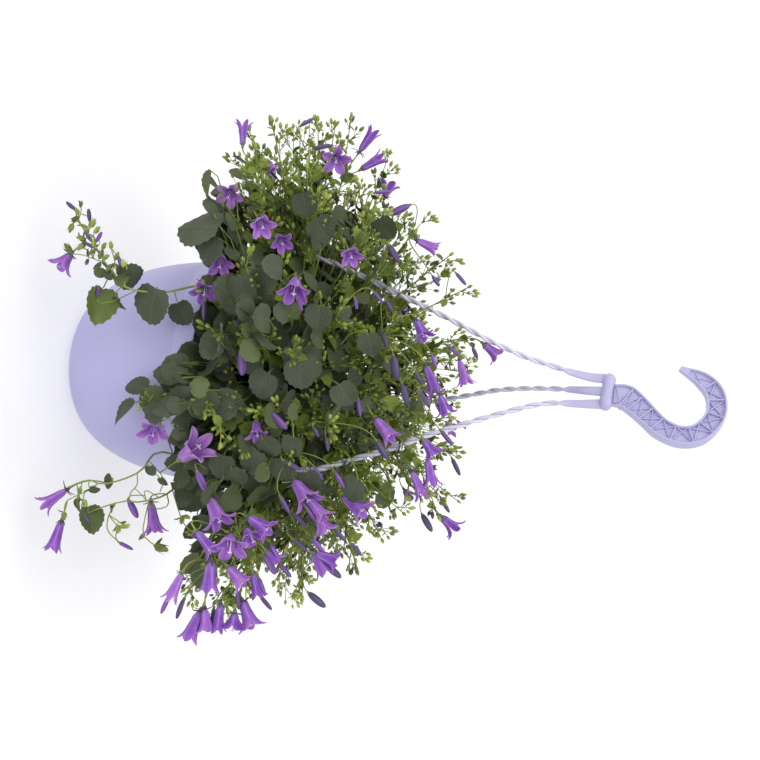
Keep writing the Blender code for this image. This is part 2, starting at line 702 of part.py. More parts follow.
def make_hook():
    flange = 0.0021
    web_half = 0.0011
    pocket = HOOK_THICKNESS / 2.0 - web_half
    middle_of_pocket = web_half + pocket / 2.0 + 0.0005
    plate = hook_plate("hook", hook_outline(0.0, 0.0, 1.0), HOOK_THICKNESS, 0.0)
    inner = hook_outline(flange, 0.055, 0.965)
    cutters = [
        hook_plate("pocket_front", inner, pocket + 0.001, -middle_of_pocket),
        hook_plate("pocket_back", inner, pocket + 0.001, middle_of_pocket),
    ]
    plate = applied(plate, "DIFFERENCE", cutters)
    bars = []
    sides = []
    for share in (0.045,) + HOOK_RIBS + (0.955,):
        middle, half, square = hook_station(share)
        sides.append((middle - square * (half - 0.0012), middle + square * (half - 0.0012)))
    for index, (left, right) in enumerate(sides[1:-1]):
        bars.append(hook_bar(f"rib_{index}", left, right, 0.0013, HOOK_THICKNESS - 0.0012))
    for index, (low, high) in enumerate(zip(sides, sides[1:])):
        bars.append(hook_bar(f"brace_{index}_a", low[0], high[1], 0.0010, 0.0062))
        bars.append(hook_bar(f"brace_{index}_b", low[1], high[0], 0.0010, 0.0058))
    return applied(plate, "UNION", bars + [make_collar()], "MANIFOLD")


def make_clip(at):
    """The clip that straddles the pot's rim, square to it, with its slot open below."""
    around = math.atan2(at.y, at.x)
    slot_middle = POT_RIM_RADIUS - 0.0017
    slot_width = 0.0045
    leg = 0.0028
    top = POT_HEIGHT + GAP + 0.0032
    foot = POT_HEIGHT - 0.007
    maker = bmesh.new()
    bmesh.ops.create_cube(maker, size=1.0)
    bmesh.ops.scale(maker, verts=maker.verts, vec=(slot_width + 2.0 * leg, CLIP_WIDTH, top - foot))
    bmesh.ops.translate(maker, verts=maker.verts, vec=(slot_middle, 0.0, (top + foot) / 2.0))
    block = object_of(maker, "clip")
    maker = bmesh.new()
    bmesh.ops.create_cube(maker, size=1.0)
    slot_depth = 0.014
    bmesh.ops.scale(maker, verts=maker.verts, vec=(slot_width, 2.0 * CLIP_WIDTH, slot_depth))
    slot_height = POT_HEIGHT + GAP - slot_depth / 2.0
    bmesh.ops.translate(maker, verts=maker.verts, vec=(slot_middle, 0.0, slot_height))
    clip = applied(block, "DIFFERENCE", [object_of(maker, "slot")])
    clip.data.transform(Matrix.Rotation(around, 4, "Z"))
    return clip


def make_strand(name):
    """A flat twisted strand, thicker where it leaves the collar, with its clip at the rim."""
    points = [Vector(point) * 0.001 for point in STRAND_ROUTES[name]]
    route, length = smooth_route(points, STRAND_TWIST_PITCH / STRAND_POINTS_PER_TURN)
    section = bpy.data.curves.new(name + "_section", "CURVE")
    section.dimensions = "2D"
    outline = section.splines.new("POLY")
    sides = 5
    outline.points.add(sides - 1)
    for side, point in enumerate(outline.points):
        angle = 2.0 * math.pi * side / sides
        point.co = (STRAND_HALF_WIDTH * math.cos(angle), STRAND_HALF_THICKNESS * math.sin(angle), 0.0, 1.0)
    outline.use_cyclic_u = True
    section_object = bpy.data.objects.new(name + "_section", section)
    curve = bpy.data.curves.new(name, "CURVE")
    curve.dimensions = "3D"
    curve.twist_mode = "MINIMUM"
    curve.bevel_mode = "OBJECT"
    curve.bevel_object = section_object
    curve.use_fill_caps = True
    spline = curve.splines.new("POLY")
    spline.points.add(len(route) - 1)
    for index, (point, place) in enumerate(zip(spline.points, route)):
        along = length * index / (len(route) - 1)
        to_root = max(0.0, 1.0 - (length - along) / STRAND_ROOT_LENGTH)
        point.co = (place.x, place.y, place.z, 1.0)
        point.tilt = 2.0 * math.pi * along / STRAND_TWIST_PITCH
        point.radius = 1.0 + STRAND_ROOT_SWELL * to_root ** 1.5
    strand = mesh_of_curve(bpy.data.objects.new(name, curve), name)
    bpy.data.objects.remove(section_object)
    return applied(strand, "UNION", [make_clip(points[0])])


def bloom_places():
    """Every bloom: its base, the way its mouth points, its width, form and spin."""
    places = []
    for index, (px, py, reach, angle, turn, width, form) in enumerate(BLOOMS):
        places.append((point_on_dome(px, py, reach), aimed(angle, turn), width, form, index))
    for index, (px, py, towards, angle, turn, width, form) in enumerate(TRAILING_BLOOMS):
        places.append((point_in_front(px, py, towards), aimed(angle, turn), width, form, 100 + index))
    found = 0
    index = 0
    while found < BACK_BLOOM_COUNT:
        way = dome_direction(index, -2.0, 70.0, "back bloom")
        index += 1
        if way.dot(TOWARDS_EYE) > BEHIND:
            continue
        found += 1
        pick = draw("back bloom", index)
        reach = pick.uniform(0.235, 0.275)
        mouth = (way + Vector((0.0, 0.0, -0.35)) + EYE_RIGHT * pick.uniform(-0.4, 0.4)).normalized()
        form = "star" if pick.random() < 0.4 else "bell"
        middle = CROWN + way * reach
        places.append((middle, mouth, pick.uniform(26.0, 34.0), form, 200 + index))
        if found % 3 == 0:
            beside = middle + way.cross(UP).normalized() * 0.011 + mouth * 0.004
            turned_mouth = (mouth + way.cross(UP) * 0.5).normalized()
            places.append((beside, turned_mouth, pick.uniform(26.0, 32.0), "bell", 300 + index))
    blooms = []
    for middle, mouth, width, form, key in places:
        size = width * 0.001
        base = middle - mouth * (size * 0.45)
        blooms.append((base, mouth, size, form, draw("spin", key).uniform(0.0, 1.2)))
    return blooms


def bloom_groups(blooms):
    """The blooms as objects, with those that cross each other fused in one bunch."""
    things = [bloom_object("bloom", *bloom) for bloom in blooms]
    trees = [tree_of(thing) for thing in things]
    group_of = list(range(len(things)))
    for first in range(len(things)):
        for second in range(first + 1, len(things)):
            if trees[first].overlap(trees[second]):
                old, new = group_of[second], group_of[first]
                group_of = [new if group == old else group for group in group_of]
    bunches = []
    for group in sorted(set(group_of)):
        members = [thing for thing, its_group in zip(things, group_of) if its_group == group]
        bunch = members[0]
        if len(members) > 1:
            bunch = applied(bunch, "UNION", members[1:], "MANIFOLD")
            keep_main_body(bunch)
        kind = "bloom" if len(members) == 1 else "bloom_bunch"
        bunch.name = f"{kind}_{len(bunches) + 1:02d}"
        bunches.append(bunch)
    return bunches


def spray_tips():
    """Where the sprays end: those that the photograph shows, and a like spread behind."""
    tips = [point_on_dome(px, py, reach) for px, py, reach in SPRAY_TIPS]
    index = 0
    while len(tips) < len(SPRAY_TIPS) + BACK_SPRAY_COUNT:
        way = dome_direction(index, 4.0, 82.0, "back spray")
        index += 1
        if way.dot(TOWARDS_EYE) < BEHIND:
            tips.append(CROWN + way * draw("back spray", index).uniform(0.262, 0.292))
    return tips


def spray_line(tip, attempt, key):
    """A spray's main stem from inside the crown: points that rise, then lean outwards."""
    way = ((tip - CROWN).normalized() + UP * 0.25).normalized()
    root = core_point(way, 0.70)
    pick = draw("spray", key, attempt)
    bend = (root + tip) / 2.0 + UP * (0.030 * (1.0 - way.z))
    bend += Vector([pick.uniform(-1.0, 1.0) for _ in range(3)]) * (0.012 * attempt)
    return [curve_point(root, bend, tip, share) for share in (0.0, 0.52, 1.0)]


def trailing_line(pixels):
    """A stem that leaves the crown, clears the rim and hangs in front of the pot."""
    points = [point_in_front(px, py, towards) for px, py, towards in pixels]
    way = Vector((points[0].x, points[0].y, 0.0)).normalized()
    over_rim = way * 0.134 + UP * TRAILING_ROOT_HEIGHT
    root = core_point((way * 0.95 + UP * -0.20).normalized(), 0.70)
    return [root, over_rim] + points[1:]


def stem_samples(lines):
    """Places along the main stems where a stalk may branch off."""
    samples = []
    for points in lines:
        for low, high in zip(points, points[1:]):
            samples += [low.lerp(high, share / 4.0) for share in range(4)]
    return samples


def branching_root(samples, end):
    """The nearest place to branch off from that lies further in than the stalk's end."""
    reach = (end - CROWN).length
    inner = [spot for spot in samples if (spot - CROWN).length < reach - 0.006]
    inner.append(core_point((end - CORE_MIDDLE).normalized(), 0.72))
    return min(inner, key=lambda place: (place - end).length)


class Foliage:
    """Gathers the green pieces, leaving out each that would cross another node."""

    def __init__(self, obstacles):
        self.obstacles = obstacles
        self.pieces = []
        self.stems = []
        self.leaves = []

    def add(self, thing, kept_clear=()):
        tree = tree_of(thing)
        if tree.overlap(self.obstacles) or any(tree.overlap(other) for other in kept_clear):
            bpy.data.objects.remove(thing)
            return False
        self.pieces.append(thing)
        if thing.name.startswith("leaf"):
            self.leaves.append(tree)
        else:
            self.stems.append(tree)
        return True

    def try_ways(self, make, attempts):
        """The first of several ways to make a stem or bud that crosses nothing."""
        for attempt in range(attempts):
            if self.add(make(attempt)):
                return attempt
        return None

    def try_leaf(self, make, attempts):
        """A leaf clear of the other leaves, and in the first tries of the stems too."""
        for attempt in range(attempts):
            clear = self.leaves + self.stems if attempt < attempts / 2 else self.leaves
            if self.add(make(attempt), clear):
                return True
        return False


def dome_leaf(samples, index, attempt):
    """A leaf that faces outwards from the dome, its tip hanging, on the nearest stem."""
    way = dome_direction(index, LOWEST_LEAF, 86.0, "leaf")
    pick = draw("leaf", index, attempt)
    twist = Vector([pick.uniform(-1.0, 1.0) for _ in range(3)])
    base = core_point(way) + (way + twist * 0.1).normalized() * pick.uniform(0.010, 0.088)
    base.z = max(base.z, LOWEST_LEAF_BASE)
    level = Vector((way.x, way.y, 0.0)).normalized()
    hang = 0.25 + 0.75 * (1.0 - way.z)
    direction = (level * 0.75 - UP * hang * pick.uniform(0.4, 1.0) + twist * 0.35).normalized()
    normal = (way + UP * 0.25 + twist * 0.2).normalized()
    length = pick.uniform(0.034, 0.044)
    root = branching_root(samples, base)
    return leaf_object("leaf", root, base, direction, normal, length, length * 1.06, f"{index} {attempt}")


def rim_leaf(index, attempt):
    """A leaf that lies over the soil's edge and the pot's rim."""
    pick = draw("rim leaf", index, attempt)
    turn = 2.0 * math.pi * (index + pick.uniform(-0.3, 0.3)) / RIM_LEAF_COUNT
    level = Vector((math.sin(turn), -math.cos(turn), 0.0))
    base = level * pick.uniform(0.094, 0.110) + UP * pick.uniform(0.179, 0.196)
    direction = (level - UP * pick.uniform(-0.1, 0.25)).normalized()
    twist = Vector([pick.uniform(-1.0, 1.0) for _ in range(3)])
    normal = (UP + level * 0.3 + twist * 0.25).normalized()
    length = pick.uniform(0.036, 0.044)
    root = core_point((base - CORE_MIDDLE).normalized(), 0.75)
    return leaf_object("leaf", root, base, direction, normal, length, length * 1.06, f"rim {index} {attempt}")


def make_foliage(blooms, obstacles):
    """Crown, sprays, stalks, buds and leaves, joined in one body."""
    foliage = Foliage(obstacles)
    lines = []
    for key, tip in enumerate(spray_tips()):
        bud = (tip - CROWN).normalized() * 0.005

        def spray(attempt):
            line = spray_line(tip, attempt, key)
            return stem_object("spray", line, (0.0014, 0.0011, 0.0017), tip + bud)

        attempt = foliage.try_ways(spray, 10)
        if attempt is not None:
            lines.append(spray_line(tip, attempt, key))
    spray_count = len(lines)
    for pixels in TRAILING_STEMS:
        line = trailing_line(pixels)
        radii = [0.0014 - 0.0001 * place for place in range(len(line))]
        if foliage.add(stem_object("trailing stem", line, radii, line[-1] + (line[-1] - line[-2]) * 0.3)):
            lines.append(line)
    samples = stem_samples(lines)

    for key, (base, mouth, width, form, spin) in enumerate(blooms):
        end = base - mouth * GAP * 1.4
        root = branching_root(samples, end)

        def stalk(attempt):
            pick = draw("stalk", key, attempt)
            sway = Vector([pick.uniform(-1.0, 1.0) for _ in range(3)]) * (0.008 * attempt)
            bend = end - mouth * (0.4 * (end - root).length) + sway
            middle = curve_point(root, bend, end, 0.6)
            return stem_object("stalk", (root, middle, end), (ROOT_HALF_WIDTH, 0.0006, 0.0016))

        foliage.try_ways(stalk, 14)

    for key, (base, tip_way, length) in enumerate(bud_places()):
        root = branching_root(samples, base)

        def bud(attempt):
            pick = draw("bud", key, attempt)
            sway = Vector([pick.uniform(-1.0, 1.0) for _ in range(3)]) * (0.006 * attempt)
            bend = base - tip_way * (0.4 * (base - root).length) + sway
            along = (base - root).dot(tip_way)
            if attempt == 0 and along > 0.5 * (base - root).length and along < SHORT_STALK:
                bend = None
            return bud_object("bud", root, bend, base, tip_way, length, length * 0.28)

        foliage.try_ways(bud, 8)

    for key, line in enumerate(lines):
        if key >= spray_count:
            stalks = STALKS_ON_TRAILER
        elif (line[-1] - CROWN).dot(TOWARDS_EYE) > 0.0:
            stalks = STALKS_ON_FRONT_SPRAY
        else:
            stalks = STALKS_ON_BACK_SPRAY
        for stalk_number in range(stalks):
            add_small_stalk(foliage, line, key, stalk_number, stalks)

    for index in range(RIM_LEAF_COUNT):
        foliage.try_leaf(lambda attempt: rim_leaf(index, attempt), 10)
    index = 0
    found = 0
    while found < DOME_LEAF_COUNT:
        if foliage.try_leaf(lambda attempt: dome_leaf(samples, index, attempt), 10):
            found += 1
        index += 1
    for key, line in enumerate(lines[spray_count:]):
        for number, place in enumerate((1.3, 2.2, 3.1)):
            add_trailing_leaf(foliage, line, key, number, place)

    core = make_core()
    joined = applied(core, "UNION", foliage.pieces, "MANIFOLD")
    keep_main_body(joined)
    joined.name = "foliage"
    return joined


def point_along(line, place):
    """A point part of the way along a line of points, with the line's direction there."""
    index = min(int(place), len(line) - 2)
    way = (line[index + 1] - line[index]).normalized()
    return line[index].lerp(line[index + 1], place - index), way


def add_small_stalk(foliage, line, key, number, count):
    """A short side stalk of a spray, which ends in a green bud."""
    pick = draw("small stalk", key, number)
    first = 0.45 * (len(line) - 1)
    place = first + (len(line) - 1 - first) * (number + pick.uniform(0.1, 0.7)) / count
    root, way = point_along(line, place)
    turn = number * 2.4 + pick.uniform(0.0, 1.0)
    length = pick.uniform(0.016, 0.028) * (1.15 - 0.4 * number / count)

    def stalk(attempt):
        aside, other = frame_on(way, turn + attempt * 0.9)
        leaning = (way + aside * 0.85).normalized()
        base = root + leaning * length
        return bud_object("small stalk", root, None, base, leaning, 0.0062, 0.0036)

    foliage.try_ways(stalk, 5)


def add_trailing_leaf(foliage, line, key, number, place):
    pick = draw("trailing leaf", key, number)
    root, way = point_along(line, place)

    def leaf(attempt):
        aside, other = frame_on(way, number * 2.4 + attempt * 1.1)
        direction = (aside + way * 0.5 - UP * 0.2).normalized()
        base = root + direction * 0.006
        normal = (TOWARDS_EYE + UP * 0.4).normalized()
        length = pick.uniform(0.018, 0.027)
        name = f"trailing {key} {number} {attempt}"
        return leaf_object("leaf", root, base, direction, normal, length, length, name)

    foliage.try_leaf(leaf, 8)


def bud_places():
    """Closed violet buds: where each starts, the way its tip points and its length."""
    places = []
    for px, py, reach, angle, length in BUDS:
        places.append((point_on_dome(px, py, reach), aimed(angle, 0.0), length * 0.001))
    for px, py, towards, angle, length in TRAILING_BUDS:
        places.append((point_in_front(px, py, towards), aimed(angle, 0.0), length * 0.001))
    index = 0
    while len(places) < len(BUDS) + len(TRAILING_BUDS) + BACK_BUD_COUNT:
        way = dome_direction(index, 5.0, 75.0, "back bud")
        index += 1
        if way.dot(TOWARDS_EYE) < BEHIND:
            pick = draw("back bud", index)
            tip_way = (way - UP * 0.3 + EYE_RIGHT * pick.uniform(-0.5, 0.5)).normalized()
            places.append((CROWN + way * pick.uniform(0.24, 0.28), tip_way, pick.uniform(0.014, 0.020)))
    return [(middle - tip_way * (length * 0.5), tip_way, length) for middle, tip_way, length in places]


def make_core():
    """The dense crown, with the foot that stands in the soil's hole."""
    maker = bmesh.new()
    bmesh.ops.create_icosphere(maker, subdivisions=3, radius=1.0)
    pick = draw("core")
    for vertex in maker.verts:
        vertex.co *= 1.0 + CORE_ROUGHNESS * pick.uniform(-1.0, 0.4)
    bmesh.ops.scale(maker, verts=maker.verts, vec=(CORE_RADIUS, CORE_RADIUS, CORE_HALF_HEIGHT))
    bmesh.ops.translate(maker, verts=maker.verts, vec=CORE_MIDDLE)
    core = object_of(maker, "core")
    foot_top = CORE_MIDDLE.z - 0.4 * CORE_HALF_HEIGHT
    maker = bmesh.new()
    height = foot_top - (SOIL_TOP - FOOT_DEPTH)
    bmesh.ops.create_cone(
        maker, cap_ends=True, segments=12, radius1=FOOT_RADIUS, radius2=FOOT_RADIUS, depth=height
    )
    bmesh.ops.translate(maker, verts=maker.verts, vec=(0.0, 0.0, foot_top - height / 2.0))
    return applied(core, "UNION", [object_of(maker, "foot")])


def main():
    clear_scene()
    parts = bpy.data.collections.new("campanula_hanging_basket")
    bpy.context.scene.collection.children.link(parts)
    seat = bpy.data.objects.new("hook_seat", None)
    seat.location = (-SEAT_SIDEWAYS, 0.0, -SEAT_HEIGHT)
    parts.objects.link(seat)

    plastic = finish("lilac_plastic", LILAC, 0.42)
    earth = finish("soil", SOIL_BROWN, 0.95)
    leaf = finish("leaf_green", LEAF_GREEN, 0.60)
    petal = finish("petal_violet", PETAL_VIOLET, 0.55)

    def place(thing, material):
        thing.data.materials.clear()
        thing.data.materials.append(material)
        parts.objects.link(thing)
        thing.parent = seat

    pot = make_pot()
    soil = make_soil()
    hook = make_hook()
    strands = [make_strand(name) for name in STRAND_ROUTES]
    place(pot, plastic)
    place(soil, earth)
    place(hook, plastic)
    for strand in strands:
        place(strand, plastic)
    blooms = bloom_places()
    bunches = bloom_groups(blooms)
    solid_pot = evaluated_copy(pot)
    solid_soil = evaluated_copy(soil)
    obstacles = tree_of(solid_pot, solid_soil, *strands, *bunches)
    bpy.data.objects.remove(solid_pot)
    bpy.data.objects.remove(solid_soil)
    place(make_foliage(blooms, obstacles), leaf)
    for bunch in bunches:
        place(bunch, petal)


main()
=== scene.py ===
import json
import math
import random

import bpy
from mathutils import Matrix, Vector, noise
from mathutils.bvhtree import BVHTree

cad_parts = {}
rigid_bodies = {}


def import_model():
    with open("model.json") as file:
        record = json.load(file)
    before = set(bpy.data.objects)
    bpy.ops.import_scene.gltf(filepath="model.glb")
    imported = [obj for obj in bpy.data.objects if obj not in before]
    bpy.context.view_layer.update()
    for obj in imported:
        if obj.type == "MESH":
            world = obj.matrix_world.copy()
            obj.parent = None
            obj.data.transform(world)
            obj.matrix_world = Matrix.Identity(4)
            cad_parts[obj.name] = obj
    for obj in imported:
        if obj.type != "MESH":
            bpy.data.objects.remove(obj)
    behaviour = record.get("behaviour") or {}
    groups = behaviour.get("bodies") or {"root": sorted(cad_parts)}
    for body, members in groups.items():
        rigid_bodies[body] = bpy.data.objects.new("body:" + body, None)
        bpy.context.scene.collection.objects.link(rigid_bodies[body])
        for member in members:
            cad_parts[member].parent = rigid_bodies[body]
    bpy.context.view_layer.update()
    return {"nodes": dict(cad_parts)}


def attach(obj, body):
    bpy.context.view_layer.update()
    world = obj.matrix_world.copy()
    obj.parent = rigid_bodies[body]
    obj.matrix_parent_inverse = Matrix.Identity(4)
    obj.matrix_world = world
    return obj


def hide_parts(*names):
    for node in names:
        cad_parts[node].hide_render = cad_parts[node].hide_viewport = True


# A campanula in bloom in a lilac hanging pot. Lengths are metres. Everything is worked out
# with the pot's foot at the origin, and moved under the hook's seat when a piece is finished.

for thing in list(bpy.data.objects):
    bpy.data.objects.remove(thing)
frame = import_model()
cadNodes = frame["nodes"]
scene = bpy.context.scene

potFoot = Vector((-0.0102, 0.0, -0.6505))
up = Vector((0.0, 0.0, 1.0))
doubles = 0.00001  # points nearer than this are merged
turnOut = (bpy.ops.mesh.normals_make_consistent, {"inside": False})
denseSteps = 24  # between two points of a smooth route
attempts = 10  # tries at each stem and leaf that follows the CAD foliage
nextTurn = 2.4  # radians from one side stem to the next

view = {
    "middle": 380.0,  # of the picture, in pixels
    "focal": 900.0,
    "roll": math.radians(2.86),
    "turn": math.radians(30.0),
    "pitch": math.radians(12.0),
    "distance": 0.925,
    "height": 0.520,
    "sensor": 36.0,  # millimetres
    "nearest": 0.01,
    "farthest": 400.0,
}
towardsEye = Vector((math.sin(view["turn"]), -math.cos(view["turn"]), 0.0))
eyeRight = Vector((math.cos(view["turn"]), math.sin(view["turn"]), 0.0))
eye = towardsEye * view["distance"] + up * view["height"]


def pictureDirections():  # the picture's right, its down, and back to the eye
    above = up * math.cos(view["pitch"]) - towardsEye * math.sin(view["pitch"])
    right = above * math.cos(view["roll"]) - eyeRight * math.sin(view["roll"])
    down = above * math.sin(view["roll"]) + eyeRight * math.cos(view["roll"])
    back = towardsEye * math.cos(view["pitch"]) + up * math.sin(view["pitch"])
    return right, down, back


def rayOf(px, py):
    right, down, back = pictureDirections()
    across = (px - view["middle"]) / view["focal"]
    along = (py - view["middle"]) / view["focal"]
    return (right * across + down * along - back).normalized()


def pointOnDome(px, py, reach):  # where the line of sight meets a dome round the crown
    ray = rayOf(px, py)
    toCrown = crown - eye
    nearest = ray.dot(toCrown)
    miss = (toCrown - ray * nearest).length
    return eye + ray * (nearest - math.sqrt(max(reach * reach - miss * miss, 0.0)))


def pointInFront(px, py, towards):  # where it meets an upright plane nearer the viewer
    ray = rayOf(px, py)
    return eye + ray * ((towards - eye.dot(towardsEye)) / ray.dot(towardsEye))


def aimed(angle, turn):  # points at this angle in the picture and turns to the viewer
    right, down, back = pictureDirections()
    angle, turn = math.radians(angle), math.radians(turn)
    flat = right * math.cos(angle) + down * math.sin(angle)
    return (flat * math.cos(turn) + back * math.sin(turn)).normalized()


def draw(*words):  # a random stream of its own for each item
    return random.Random("-".join(str(word) for word in words))


def mix(low, high, share):
    return low + (high - low) * share


def anyWay(pick):
    return Vector([pick.uniform(-1.0, 1.0) for _ in range(3)])


def deselectAll():
    if bpy.context.mode != "OBJECT":
        bpy.ops.object.mode_set(mode="OBJECT")
    bpy.ops.object.select_all(action="DESELECT")


def only(thing):
    deselectAll()
    thing.select_set(True)
    bpy.context.view_layer.objects.active = thing


def applyAll(thing):
    only(thing)
    for modifier in list(thing.modifiers):
        bpy.ops.object.modifier_apply(modifier=modifier.name)


def added(operator, **settings):  # a new mesh object, the only one selected
    deselectAll()
    operator(**settings)
    return bpy.context.active_object


def addedGrid(columns, rows):  # two units wide and high
    return added(bpy.ops.mesh.primitive_grid_add, x_subdivisions=columns, y_subdivisions=rows, size=2.0)


def addedSphere(segments, rings, radius):
    return added(bpy.ops.mesh.primitive_uv_sphere_add, segments=segments, ring_count=rings, radius=radius)


def addedDisc(points):  # one unit across, filled
    return added(bpy.ops.mesh.primitive_circle_add, vertices=points, radius=0.5, fill_type="NGON")


def copyOf(thing, place=None):  # with a mesh of its own
    copy = thing.copy()
    copy.data = thing.data.copy()
    if place is not None:
        copy.data.transform(place)
    scene.collection.objects.link(copy)
    return copy


def edit(thing, *steps):  # runs mesh operators on all of it: each step is an operator and its settings
    only(thing)
    bpy.ops.object.mode_set(mode="EDIT")
    for operator, settings in steps:
        bpy.ops.mesh.select_all(action="SELECT")
        operator(**settings)
    bpy.ops.object.mode_set(mode="OBJECT")


def merged(gap):
    return bpy.ops.mesh.remove_doubles, {"threshold": gap}


def joined(things, name):
    deselectAll()
    for thing in things:
        thing.select_set(True)
    bpy.context.view_layer.objects.active = things[0]
    if len(things) > 1:
        bpy.ops.object.join()
    things[0].name = name
    things[0].data.name = name
    return things[0]


def smooth(thing, angle=None):
    only(thing)
    if angle is None:
        bpy.ops.object.shade_smooth()
    else:
        bpy.ops.object.shade_smooth_by_angle(angle=math.radians(angle))


def thicken(thing, thickness):
    solid = thing.modifiers.new("thickness", "SOLIDIFY")
    solid.thickness = thickness
    solid.offset = 0.0
    applyAll(thing)


def setTone(thing, tone):  # one number for each copy, which its material reads
    mesh = thing.data
    layer = mesh.attributes.get("tone") or mesh.attributes.new("tone", "FLOAT", "POINT")
    layer.data.foreach_set("value", [tone] * len(mesh.vertices))


def copiesOf(model, places, name):  # a mesh of its own for each place, then all joined
    copies = []
    for place, tone in places:
        copies.append(copyOf(model, place))
        setTone(copies[-1], tone)
    return joined(copies, name)


def discard(thing):
    mesh = thing.data
    bpy.data.objects.remove(thing)
    bpy.data.meshes.remove(mesh)


def placed(base, direction, normal, size):  # y runs along the direction, z along the normal
    along = direction.normalized()
    across = along.cross(normal).normalized()
    out = across.cross(along).normalized()
    turn = Matrix((across, along, out)).transposed().to_4x4()
    return Matrix.Translation(base) @ turn @ Matrix.Scale(size, 4)


def pointed(base, axis, size, spin=0.0):  # z runs along the axis
    helper = Vector((1.0, 0.0, 0.0)) if abs(axis.x) < 0.8 else Vector((0.0, 1.0, 0.0))
    first = axis.cross(helper).normalized()
    first.rotate(Matrix.Rotation(spin, 3, axis))
    turn = Matrix((first, axis.cross(first).normalized(), axis)).transposed().to_4x4()
    return Matrix.Translation(base) @ turn @ Matrix.Scale(size, 4)


def curvePoint(start, bend, end, share):
    rest = 1.0 - share
    return start * (rest * rest) + bend * (2.0 * rest * share) + end * (share * share)


def stemRoute(root, bend, tip, count):
    return [curvePoint(root, bend, tip, step / (count - 1)) for step in range(count)]


def withEnds(points):  # one more point before the first and after the last
    return [points[0] * 2.0 - points[1]] + list(points) + [points[-1] * 2.0 - points[-2]]


def smoothPoint(a, b, c, d, t):  # between b and c, on a smooth curve through all four
    bend = (2.0 * a - 5.0 * b + 4.0 * c - d) * t * t
    return 0.5 * (2.0 * b + (c - a) * t + bend + (3.0 * b - a - 3.0 * c + d) * t ** 3)


def smoothRoute(points, spacing):  # evenly spaced along a smooth curve through the points
    ends = withEnds(points)
    dense = []
    for around in zip(ends, ends[1:], ends[2:], ends[3:]):
        dense += [smoothPoint(*around, step / denseSteps) for step in range(denseSteps)]
    dense.append(points[-1])
    lengths = [0.0]
    for first, second in zip(dense, dense[1:]):
        lengths.append(lengths[-1] + (second - first).length)
    count = max(round(lengths[-1] / spacing), 2)
    route, spot = [], 0
    for step in range(count + 1):
        wanted = lengths[-1] * step / count
        while spot < len(lengths) - 2 and lengths[spot + 1] < wanted:
            spot += 1
        share = (wanted - lengths[spot]) / (lengths[spot + 1] - lengths[spot])
        route.append(dense[spot].lerp(dense[spot + 1], share))
    return route, lengths[-1]


def meshOf(curve, name):
    thing = bpy.data.objects.new(name, curve)
    scene.collection.objects.link(thing)
    only(thing)
    bpy.ops.object.convert(target="MESH")
    return bpy.context.active_object


def tubes(routes, name, sides=0):  # round stems: each route is (points, radii, tone)
    groups = {}
    for points, radii, tone in routes:
        groups.setdefault(round(tone, 1), []).append((points, radii))
    meshes = []
    for tone, members in groups.items():
        curve = bpy.data.curves.new(name, "CURVE")
        curve.dimensions = "3D"
        curve.bevel_depth = 1.0
        curve.bevel_resolution = sides
        curve.use_fill_caps = True
        for points, radii in members:
            spline = curve.splines.new("POLY")
            spline.points.add(len(points) - 1)
            for point, spot, radius in zip(spline.points, points, radii):
                point.co = (spot.x, spot.y, spot.z, 1.0)
                point.radius = radius
        stems = meshOf(curve, name)
        edit(stems, merged(0.2 * doubles))
        setTone(stems, tone)
        meshes.append(stems)
    stems = joined(meshes, name)
    smooth(stems, 60)
    return stems


def finishPiece(piece, material, replaced=()):
    piece.data.transform(Matrix.Translation(potFoot))
    piece.data.materials.clear()
    piece.data.materials.append(material)
    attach(piece, "root")
    if replaced:
        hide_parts(*replaced)
    print(f"{piece.name}: {sum(len(face.vertices) - 2 for face in piece.data.polygons)} triangles")


def treeOf(*things):
    points, faces = [], []
    for thing in things:
        start = len(points)
        points += [vertex.co.copy() for vertex in thing.data.vertices]
        faces += [[start + corner for corner in face.vertices] for face in thing.data.polygons]
    return BVHTree.FromPolygons(points, faces)


def newGroup(name, inputs, outputs):
    group = bpy.data.node_groups.new(name, "ShaderNodeTree")
    for label, kind, value in inputs:
        socket = group.interface.new_socket(label, in_out="INPUT", socket_type="NodeSocket" + kind)
        if value is not None:
            socket.default_value = value
    for label, kind in outputs:
        group.interface.new_socket(label, in_out="OUTPUT", socket_type="NodeSocket" + kind)
    return group, group.nodes.new("NodeGroupInput"), group.nodes.new("NodeGroupOutput")


def feed(tree, node, values):  # links a socket, and sets any other value
    for key, value in values.items():
        if isinstance(value, bpy.types.NodeSocket):
            tree.links.new(value, node.inputs[key])
        else:
            node.inputs[key].default_value = value
    return node


def addNode(tree, kind, values=None, **settings):
    node = tree.nodes.new("ShaderNode" + kind)
    for key, value in settings.items():
        setattr(node, key, value)
    return feed(tree, node, values or {})


def maths(tree, operation, *values, clamp=False):
    node = addNode(tree, "Math", dict(enumerate(values)), operation=operation, use_clamp=clamp)
    return node.outputs[0]


def blendColours(tree, share, low, high, kind="MIX"):
    values = {0: share, 6: low, 7: high}
    return addNode(tree, "Mix", values, data_type="RGBA", blend_type=kind).outputs[2]


def rangeOf(tree, value, low, high, toLow=0.0, toHigh=1.0):
    values = {"Value": value, "From Min": low, "From Max": high, "To Min": toLow, "To Max": toHigh}
    return addNode(tree, "MapRange", values, clamp=True).outputs[0]


def awayFrom(tree, value, middle):
    return maths(tree, "ABSOLUTE", maths(tree, "SUBTRACT", value, middle))


